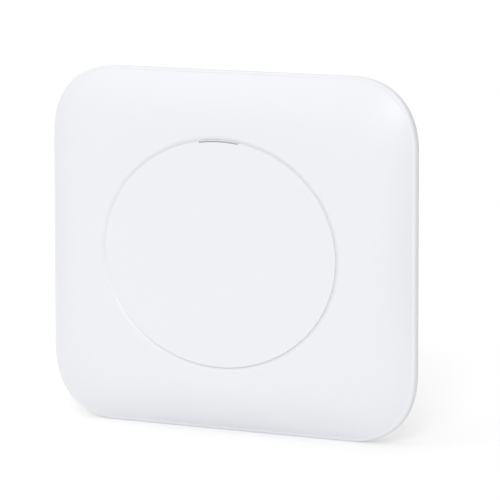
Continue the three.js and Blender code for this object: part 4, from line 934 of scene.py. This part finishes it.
finer("reset_switch", "reset_switch_case", 0.2 * MM, black_plastic, "black_plastic")
button_plastic = finish(
    "button_plastic", (0.42, 0.43, 0.45), (0.38, 0.39, 0.41), (0.52, 0.52, 0.54),
    0.5, 0.05, 0.0004, 0.00002, edge=0.0002,
)
button_radius = (reset_high.x - reset_low.x) / 2
button_end = reset_high.z - reset_low.z
button = turned("reset_plunger", [(0.75 * button_radius, 0), (0.93 * button_radius, 0.06 * button_radius),
                                  (button_radius, 0.25 * button_radius), (button_radius, button_end)],
                Matrix.Translation((RESET_X, reset_y, reset_low.z)), 24)
dress(button, button_plastic, "reset", "button_plastic", "reset_button")

# ---------------------------------------------------------------- main board
# A green glass-fibre board on the housing's four standoffs. Its copper runs show through the lacquer as
# paler lines, and rows of small ceramic parts with tinned ends are soldered to its ceiling side.

# A mask of thin straight conductors that turn square corners, crowded in some places.
COPPER_RUNS, pitch, where = shader_group("copper_runs", ("Pitch", 0.002), ("Runs",))
fineness = add_node(COPPER_RUNS, "ShaderNodeMath", {0: 1.0, 1: pitch}, operation="DIVIDE")
flat = add_node(COPPER_RUNS, "ShaderNodeMapping", {"Vector": where, "Rotation": (math.radians(90), 0, 0)})
runs = add_node(COPPER_RUNS, "ShaderNodeTexBrick", {
    "Vector": flat, "Scale": fineness, "Color1": (0, 0, 0, 1), "Color2": (0, 0, 0, 1), "Mortar": (1, 1, 1, 1),
    "Mortar Size": 0.06, "Brick Width": 3.1, "Row Height": 0.45,
}, "Color", offset=0.37, squash=1.6, squash_frequency=3)
crowds = add_node(COPPER_RUNS, "ShaderNodeTexNoise", {"Vector": where, "Scale": 70.0}, "Fac")
shown = add_node(COPPER_RUNS, "ShaderNodeMapRange",
                 {"Value": crowds, "From Min": 0.42, "From Max": 0.5}, "Result")
give_out(COPPER_RUNS, Runs=add_node(COPPER_RUNS, "ShaderNodeMath", {0: runs, 1: shown}, operation="MULTIPLY"))


def add_runs(material, run_color, pitch):
    """Draws copper runs over a material's base colour."""
    tree = material.node_tree
    base = tree.nodes["Principled BSDF"].inputs["Base Color"]
    runs = add_node(tree, "ShaderNodeGroup", {"Pitch": pitch}, "Runs", node_tree=COPPER_RUNS)
    tree.links.new(mix_colors(tree, runs, base.links[0].from_socket, (*run_color, 1)), base)


circuit_board = finish(
    "circuit_board", (0.020, 0.105, 0.050), (0.016, 0.090, 0.042), (0.16, 0.20, 0.10),
    0.36, 0.05, 0.0006, 0.00001, edge=0.0003,
)
add_runs(circuit_board, (0.05, 0.20, 0.10), 0.0024)
finer("main_board", "board_sheet", 0.12 * MM, circuit_board, "circuit_board", 60)

PART_LENGTH = 1.6 * MM
PART_WIDTH = 0.8 * MM
PART_PITCH = 2.2 * MM
# x and z of each row's first part in mm, and how many there are.
PART_ROWS = [(-52, 30, 10), (-52, 14, 14), (-52, -6, 10), (-50, -30, 8), (16, 12, 14), (22, 0, 10),
             (32, -14, 8), (40, 30, 4), (32, -34, 8), (-6, 14, 6)]

ceramic = finish(
    "part_ceramic", (0.27, 0.20, 0.14), (0.10, 0.09, 0.085), (0.34, 0.28, 0.22),
    0.5, 0.06, 0.0004, 0.000008, edge=0.0001,
)
tinned = finish(
    "part_ends", (0.70, 0.70, 0.69), (0.64, 0.64, 0.64), (0.80, 0.80, 0.80),
    0.32, 0.05, 0.0003, 0.000006, metallic=1.0, edge=0.0001,
)
part_row = Recipe("part_row", count=8, pitch=0.002, length=0.0016, width=0.0008, x=0.0, y=0.0, ends=None)
middle_length = part_row.maths("MULTIPLY", part_row.given["length"], 0.5)
core = part_row.add("GeometryNodeMeshCube", {
    "Size": part_row.vector(part_row.given["width"], middle_length, part_row.given["width"])})
cap_size = part_row.vector(
    part_row.maths("MULTIPLY", part_row.given["width"], 1.06),
    part_row.maths("MULTIPLY", part_row.given["length"], 0.25),
    part_row.maths("MULTIPLY", part_row.given["width"], 1.06),
)
cap = part_row.add("GeometryNodeMeshCube", {"Size": cap_size})
cap_line = part_row.add("GeometryNodeMeshLine", {
    "Count": 2,
    "Start Location": part_row.vector(y=part_row.maths("MULTIPLY", part_row.given["length"], -0.375)),
    "Offset": part_row.vector(y=part_row.maths("MULTIPLY", part_row.given["length"], 0.75)),
})
caps = part_row.add("GeometryNodeInstanceOnPoints", {"Points": cap_line, "Instance": cap})
one_part = part_row.join(
    part_row.paint(core, part_row.given["material"]),
    part_row.paint(part_row.add("GeometryNodeRealizeInstances", {"Geometry": caps}), part_row.given["ends"]),
)
parts_line = part_row.add("GeometryNodeMeshLine", {
    "Count": part_row.given["count"],
    "Start Location": part_row.vector(part_row.given["x"], part_row.given["y"]),
    "Offset": part_row.vector(x=part_row.given["pitch"]),
})
row_of_parts = part_row.add("GeometryNodeInstanceOnPoints", {"Points": parts_line, "Instance": one_part})
part_row.close(row_of_parts, False)
rows = [
    part_row.grow("parts", count=count, pitch=PART_PITCH, length=PART_LENGTH, width=PART_WIDTH, x=x * MM,
                  y=z * MM, material=ceramic, ends=tinned)
    for x, z, count in PART_ROWS
]
all_parts = bmesh.new()
for row in rows:
    all_parts.from_mesh(row.data)
board_parts = rows[0]
all_parts.to_mesh(board_parts.data)
all_parts.free()
for row in rows[1:]:
    bpy.data.objects.remove(row)
board_parts.name = "board_parts"
PART_LEVEL = BOARD_BACK - 0.55 * PART_WIDTH - 0.04 * MM
board_parts.data.transform(Matrix.Translation((0, -PART_LEVEL, 0)) @ FORWARD)
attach(board_parts, "unit")

# ---------------------------------------------------------------- power converter and line transformers
# A transformer and a choke in dark grey cases, two electrolytic capacitors in blue sleeves, and a
# moulded transformer behind each jack, all soldered to the board's ceiling side.

core_plastic = finish(
    "core_plastic", (0.060, 0.061, 0.066), (0.075, 0.076, 0.080), (0.12, 0.12, 0.125),
    0.55, 0.07, 0.0007, 0.00004,
)
capacitor_sleeve = finish(
    "capacitor_sleeve", (0.022, 0.045, 0.16), (0.018, 0.038, 0.14), (0.06, 0.09, 0.24),
    0.3, 0.04, 0.0006, 0.000008,
)
for node, name, width in (
    ("power_transformer", "converter_core", 0.8 * MM),
    ("power_inductor", "converter_choke", 0.6 * MM),
    ("line_transformer_poe", "line_block_poe", 0.3 * MM),
    ("line_transformer_lan", "line_block_lan", 0.3 * MM),
):
    finer(node, name, width, core_plastic, "core_plastic")


def out_of(low, high):
    """Moves an upright turned piece into a box so that it points out of the ceiling."""
    return Matrix.Translation(((low.x + high.x) / 2, high.y, (low.z + high.z) / 2)) @ FORWARD


for i in (1, 2):
    low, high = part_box(f"capacitor_{i}")
    radius, length = (high.x - low.x) / 2, high.y - low.y
    can = turned(f"capacitor_can_{i}", [
        (0.80 * radius, 0.2 * MM), (0.86 * radius, 0.15 * MM), (0.88 * radius, 0), (0.95 * radius, 0.1 * MM),
        (radius, 0.5 * MM), (radius, length - 2.6 * MM), (0.93 * radius, length - 2.2 * MM),
        (0.93 * radius, length - 1.8 * MM), (radius, length - 1.4 * MM), (radius, length - 0.4 * MM),
        (0.94 * radius, length),
    ], out_of(low, high), 40)
    dress(can, capacitor_sleeve, "unit", "capacitor_sleeve", f"capacitor_{i}")
    can.data.materials.append(tinned)
    can.data.polygons[0].material_index = 1

# ---------------------------------------------------------------- shielded radios and processor
# Three black packages under pressed tin lids on the board's room side, each with a soft grey-blue pad
# on top that carries its heat to the spreader.

shield_tin = finish(
    "shield_tin", (0.66, 0.67, 0.67), (0.60, 0.61, 0.61), (0.80, 0.80, 0.80),
    0.34, 0.07, 0.0009, 0.000008, metallic=1.0, edge=0.0003,
)
pad_rubber = finish(
    "pad_rubber", (0.27, 0.37, 0.54), (0.25, 0.35, 0.51), (0.33, 0.43, 0.58),
    0.85, 0.05, 0.0004, 0.00003,
)
for place in ("radio_5ghz", "radio_2ghz", "processor"):
    finer("chip_" + place, "package_" + place, 0.1 * MM, black_plastic, "black_plastic")
    finer("shield_" + place, "lid_" + place, 0.25 * MM, shield_tin, "shield_tin")
    finer("thermal_pad_" + place, "pad_" + place, 0.25 * MM, pad_rubber, "pad_rubber")

# ---------------------------------------------------------------- antennas
# Four upright copper-clad boards in slotted posts, two along the top and one at each side. A thin grey
# lead runs from each one over the board's edge to a snap-on plug.

antenna_board = finish(
    "antenna_board", (0.020, 0.105, 0.050), (0.016, 0.090, 0.042), (0.14, 0.18, 0.10),
    0.38, 0.05, 0.0006, 0.00001, edge=0.0002,
)
add_runs(antenna_board, (0.62, 0.42, 0.20), 0.006)
lead_jacket = finish(
    "lead_jacket", (0.075, 0.077, 0.082), (0.065, 0.067, 0.071), (0.11, 0.11, 0.115),
    0.45, 0.05, 0.0004, 0.00001,
)
for place in ("upper_left", "upper_right", "left", "right"):
    finer("antenna_" + place, "antenna_board_" + place, 0.1 * MM, antenna_board, "circuit_board")
    finer("antenna_lead_" + place, "lead_" + place, 0, lead_jacket, "lead_jacket", 60)
    low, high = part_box("antenna_plug_" + place)
    radius, length = (high.x - low.x) / 2, high.y - low.y
    plug = turned("plug_" + place, [
        (radius, 0), (radius, 0.45 * length), (0.9 * radius, 0.55 * length), (0.94 * radius, 0.7 * length),
        (0.9 * radius, 0.92 * length), (0.8 * radius, length),
    ], out_of(low, high), 24)
    dress(plug, contact_metal, "unit", "contact_metal", "antenna_plug_" + place)

# ---------------------------------------------------------------- heat spreader
# A bent sheet of aluminium that rests on the pads and stands on four feet at its sides. It is
# notched for the light guide and cut back at the board's screws.

spreader_aluminium = finish(
    "spreader_aluminium", (0.72, 0.73, 0.74), (0.66, 0.67, 0.68), (0.85, 0.85, 0.86),
    0.36, 0.06, 0.0005, 0.000012, metallic=1.0, edge=0.0003,
)
finer("heat_spreader", "spreader_sheet", 0.2 * MM, spreader_aluminium, "spreader_aluminium")

# ---------------------------------------------------------------- status lamp and light guide
# A small surface lamp on the board, under a frosted guide whose thin curved blade ends as the light slot
# in the groove's inner side. It shows a cool grey when the lamp is off.

GROOVE_HALF_WIDTH = 65.9 * MM
GROOVE_HALF_HEIGHT = 57.7 * MM
SLOT_INNER = -1.55 * MM  # offsets from the groove's line
SLOT_OUTER = -0.25 * MM
SLOT_HALF = 10.9 * MM
BLADE_GAP = 0.15 * MM

led_plastic = finish(
    "led_plastic", (0.86, 0.80, 0.42), (0.84, 0.78, 0.46), (0.90, 0.88, 0.70),
    0.3, 0.04, 0.0003, 0.000006, edge=0.0001,
)
finer("status_led", "status_lamp", 0.15 * MM, led_plastic, "led_plastic")


def oval_arc(offset, half_length, steps=40):
    """Points along the groove's oval at its top, from right to left."""
    a, b = GROOVE_HALF_WIDTH + offset, GROOVE_HALF_HEIGHT + offset
    places = [half_length * (1 - 2 * i / steps) for i in range(steps + 1)]
    return [(x, b * math.sqrt(1 - (x / a) ** 2)) for x in places]


def arc_blade(inner, outer, half_length, low, high):
    return slab(oval_arc(outer, half_length) + oval_arc(inner, half_length)[::-1], low, high)


guide_low, guide_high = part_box("light_guide")
LAMP_Z = middle_of("status_led")[2]
GUIDE_FRONT = -guide_low.y
FOOT_FRONT = GUIDE_FRONT - 5.5 * MM  # of the foot that carries the lamp's light to the blade
FOOT_HALF = 3.0 * MM
FOOT_DEPTH = 2.4 * MM
BLADE_ROOT = 1.2 * MM  # how far the blade runs into the foot
BLADE_FIT = 0.03 * MM
LEDGE = 0.45 * MM  # width of the step along the blade's inner side, which reads as the slot's dark line
LEDGE_DEPTH = 0.7 * MM
guide = arc_blade(SLOT_INNER + BLADE_FIT, SLOT_OUTER - BLADE_FIT, SLOT_HALF - BLADE_GAP,
                  FOOT_FRONT - BLADE_ROOT, GUIDE_FRONT)
carve(guide, [
    block(-FOOT_HALF, FOOT_HALF, LAMP_Z - FOOT_HALF / 2, GROOVE_HALF_HEIGHT + SLOT_OUTER - BLADE_GAP,
          FOOT_FRONT - FOOT_DEPTH, FOOT_FRONT),
    block(-FOOT_HALF, FOOT_HALF, LAMP_Z - FOOT_HALF / 2, LAMP_Z + FOOT_HALF / 2, -guide_high.y,
          FOOT_FRONT - PAST),
], [
    arc_blade(SLOT_INNER - LEDGE, SLOT_INNER + LEDGE, SLOT_HALF,
              GUIDE_FRONT - LEDGE_DEPTH, GUIDE_FRONT + PAST),
])
guide.name = "light_pipe"
soften(guide, 0.06 * MM)
light_guide_plastic = finish(
    "light_guide_plastic", (0.68, 0.68, 0.73), (0.65, 0.65, 0.70), (0.74, 0.74, 0.78),
    0.3, 0.03, 0.0004, 0.000006, edge=0.0001,
)
dress(guide, light_guide_plastic, "unit", "light_guide_plastic", "light_guide")

# ---------------------------------------------------------------- front cover
# The white moulded face: a straight band, a rounded edge, a low dome and a fine oval groove round a
# slightly crowned middle. It is 2 mm thick, with four hollow posts behind for the housing's screws.

EDGE = 0.35 * MM
DOME_POWER = 2.6
GROOVE_DEPTH = 1.0 * MM
# Offset from the groove's line in mm, and share of its depth: gentle outside, steep inside.
GROOVE_PROFILE = [
    (1.5, 0), (1.25, 0.04), (0.9, 0.18), (0.5, 0.38), (0.1, 0.60), (-0.3, 0.82), (-0.55, 0.95), (-0.68, 1.0),
    (-0.76, 0.97), (-0.80, 0.8), (-0.83, 0.3), (-0.87, 0.1), (-0.94, 0.02), (-1.1, 0),
]
DOME_START = 1.9 * MM

rim_angles = [math.atan2(z / HEIGHT, x / WIDTH) for x, z in rim_outline(0)]


def oval_outline(offset, share=1.0):
    a, b = (GROOVE_HALF_WIDTH + offset) * share, (GROOVE_HALF_HEIGHT + offset) * share
    return [(a * math.cos(t), b * math.sin(t)) for t in rim_angles]


def dome_rings(down, shares):
    rim, oval = rim_outline(RIM_ROUND + down), oval_outline(DOME_START)
    return [
        at_level(between(rim, oval, s), RIM_FRONT + DOME_RISE * (1 - (1 - s) ** DOME_POWER) - down)
        for s in shares
    ]


band = [(EDGE, 0.0), (EDGE * 0.3, EDGE * 0.3), (0.0, EDGE), (0.0, RIM_BAND * 0.6), (0.0, RIM_BAND)]
for step in range(1, 8):
    turn = math.radians(90 * step / 8)
    band.append((RIM_ROUND * (1 - math.cos(turn)), RIM_BAND + RIM_ROUND * math.sin(turn)))
rings = [at_level(rim_outline(inset), RIM_BACK + up) for inset, up in band]
rings += dome_rings(0, [(i / 30) ** 1.35 for i in range(31)])
rings += [at_level(oval_outline(o * MM), GROOVE_LEVEL - d * GROOVE_DEPTH) for o, d in GROOVE_PROFILE]
for share in (0.97, 0.93, 0.85, 0.75, 0.62, 0.48, 0.34, 0.2, 0.08):
    rings.append(at_level(oval_outline(-1.1 * MM, share), GROOVE_LEVEL + CROWN * (1 - share ** 2)))
cover = skin("front_cover_shell", rings)
inside = skin("inside", [
    at_level(rim_outline(WALL), RIM_BACK - PAST),
    at_level(rim_outline(WALL), RIM_BACK + RIM_BAND - WALL / 2),
    *dome_rings(WALL, [(i / 14) ** 1.35 for i in range(15)]),
])
POST_RADIUS = 3.4 * MM
post_start = SHELF_FRONT + CONTACT
COVER_PILOT_DEPTH = 11 * MM  # from the housing's shelf, under the screws' heads
posts = four_posts(SCREW_X, SCREW_Z, POST_RADIUS, post_start, RIM_FRONT + DOME_RISE * 0.55)
pilots = four_posts(SCREW_X, SCREW_Z, PILOT_RADIUS, post_start - PAST, SHELF + COVER_PILOT_DEPTH, 24)
slot_cut = arc_blade(SLOT_INNER, SLOT_OUTER, SLOT_HALF, GROOVE_LEVEL - 2 * WALL, CROWN_FRONT + PAST)
carve(cover, [], [inside])
carve(cover, posts, [*pilots, slot_cut])
cover.name = "front_cover_shell"
cover.data.shade_smooth()
cover.data.set_sharp_from_angle(angle=math.radians(38))
cover_plastic = finish(
    "cover_plastic", (0.752, 0.760, 0.790), (0.744, 0.752, 0.782), (0.80, 0.80, 0.82),
    0.42, 0.02, 0.0006, 0.00002, edge=0.0003,
)
dress(cover, cover_plastic, "unit", "cover_plastic", "front_cover")

# ---------------------------------------------------------------- screws
# Cross-headed steel screws, turned and thread-rolled. Four go from the back through the housing's posts
# into the cover, and four hold the board down on its standoffs.

screw_steel = finish(
    "screw_steel", (0.50, 0.51, 0.53), (0.45, 0.46, 0.48), (0.68, 0.68, 0.70),
    0.3, 0.06, 0.0004, 0.000008, metallic=1.0, edge=0.0002,
)
screws = Recipe("four_screws", head_radius=0.00275, head_height=0.0019, shank_radius=0.0014, length=0.01,
                thread=0.0007, recess=0.0005, half_x=0.06, half_z=0.05, seat=0.01, turn=0.0)
given = screws.given
head_round = screws.add("GeometryNodeMeshCylinder", {
    "Vertices": 32, "Side Segments": 2, "Fill Segments": 6, "Radius": given["head_radius"],
    "Depth": screws.maths("MULTIPLY", given["head_height"], 0.6),
})
where = screws.add("GeometryNodeInputPosition")
split = screws.tree.nodes.new("ShaderNodeSeparateXYZ")
screws.tree.links.new(where, split.inputs[0])
reach = screws.add("ShaderNodeVectorMath", {0: screws.vector(split.outputs[0], split.outputs[1])}, out=1,
                   operation="LENGTH")
share = screws.maths("DIVIDE", reach, given["head_radius"])
rise = screws.maths("MULTIPLY", screws.maths("SUBTRACT", 1.0, screws.maths("POWER", share, 2.4)),
                    screws.maths("MULTIPLY", given["head_height"], -0.4))
outer_side = screws.maths("LESS_THAN", split.outputs[2], 0.0)
domed = screws.add("GeometryNodeSetPosition", {
    "Geometry": head_round, "Offset": screws.vector(z=screws.maths("MULTIPLY", rise, outer_side))})
lifted = screws.add("GeometryNodeTransform", {
    "Geometry": domed, "Translation": screws.vector(z=screws.maths("MULTIPLY", given["head_height"], -0.3))})
bar_length = screws.maths("MULTIPLY", given["head_radius"], 1.1)
bar_depth = screws.maths("MULTIPLY", given["head_height"], 1.2)
bars = [
    screws.add("GeometryNodeMeshCube", {"Size": size})
    for size in (screws.vector(bar_length, given["recess"], bar_depth),
                 screws.vector(given["recess"], bar_length, bar_depth))
]
sunk = [
    screws.add("GeometryNodeTransform", {
        "Geometry": bar,
        "Translation": screws.vector(z=screws.maths("MULTIPLY", given["head_height"], -1.05)),
    })
    for bar in bars
]
first_cut = screws.add("GeometryNodeMeshBoolean", {"Mesh 1": lifted, "Mesh 2": sunk[0]},
                       operation="DIFFERENCE", solver="EXACT")
head = screws.add("GeometryNodeMeshBoolean", {"Mesh 1": first_cut, "Mesh 2": sunk[1]}, operation="DIFFERENCE",
                  solver="EXACT")
shank = screws.add("GeometryNodeMeshCylinder", {
    "Vertices": 20, "Radius": screws.maths("MULTIPLY", given["shank_radius"], 0.9), "Depth": given["length"]})
shank = screws.add("GeometryNodeTransform", {
    "Geometry": shank, "Translation": screws.vector(z=screws.maths("MULTIPLY", given["length"], 0.5))})
helix = screws.add("GeometryNodeCurveSpiral", {
    "Resolution": 14,
    "Rotations": screws.maths("DIVIDE", screws.maths("MULTIPLY", given["length"], 0.85), given["thread"]),
    "Start Radius": screws.maths("MULTIPLY", given["shank_radius"], 0.9),
    "End Radius": screws.maths("MULTIPLY", given["shank_radius"], 0.9),
    "Height": screws.maths("MULTIPLY", given["length"], 0.85),
})
ridge = screws.add("GeometryNodeCurvePrimitiveCircle", {
    "Resolution": 3, "Radius": screws.maths("MULTIPLY", given["shank_radius"], 0.1)})
thread = screws.add("GeometryNodeCurveToMesh", {"Curve": helix, "Profile Curve": ridge, "Fill Caps": True})
thread = screws.add("GeometryNodeTransform", {
    "Geometry": thread, "Translation": screws.vector(z=screws.maths("MULTIPLY", given["length"], 0.1))})
one_screw = screws.join(head, shank, thread)
corners = screws.add("GeometryNodeMeshGrid", {
    "Size X": screws.maths("MULTIPLY", given["half_x"], 2.0),
    "Size Y": screws.maths("MULTIPLY", given["half_z"], 2.0),
    "Vertices X": 2, "Vertices Y": 2,
})
corners = screws.add("GeometryNodeTransform", {
    "Geometry": corners, "Translation": screws.vector(z=given["seat"])})
screws.close(screws.add("GeometryNodeInstanceOnPoints", {
    "Points": corners, "Instance": one_screw, "Rotation": screws.vector(x=given["turn"])}))

for name, first, half_x, half_z, turn, head_height in (
    ("housing_screws", "housing_screw_", SCREW_X, SCREW_Z, 0.0, 1.9 * MM),
    ("board_screws", "board_screw_", STANDOFF_X, STANDOFF_Z, math.pi, 1.6 * MM),
):
    low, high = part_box(first + "4")
    near, far = -high.y, -low.y
    seat = far - head_height if turn else near + head_height
    four = screws.grow(name, head_radius=(high.x - low.x) / 2, head_height=head_height, shank_radius=1.4 * MM,
                       length=far - near - head_height, thread=0.75 * MM, recess=0.6 * MM, half_x=half_x,
                       half_z=half_z, seat=seat, turn=turn, material=screw_steel)
    four.data.transform(FORWARD)
    four.data.shade_smooth()
    four.data.set_sharp_from_angle(angle=math.radians(35))
    dress(four, screw_steel, "unit", "screw_steel", *[first + str(i) for i in (1, 2, 3, 4)])
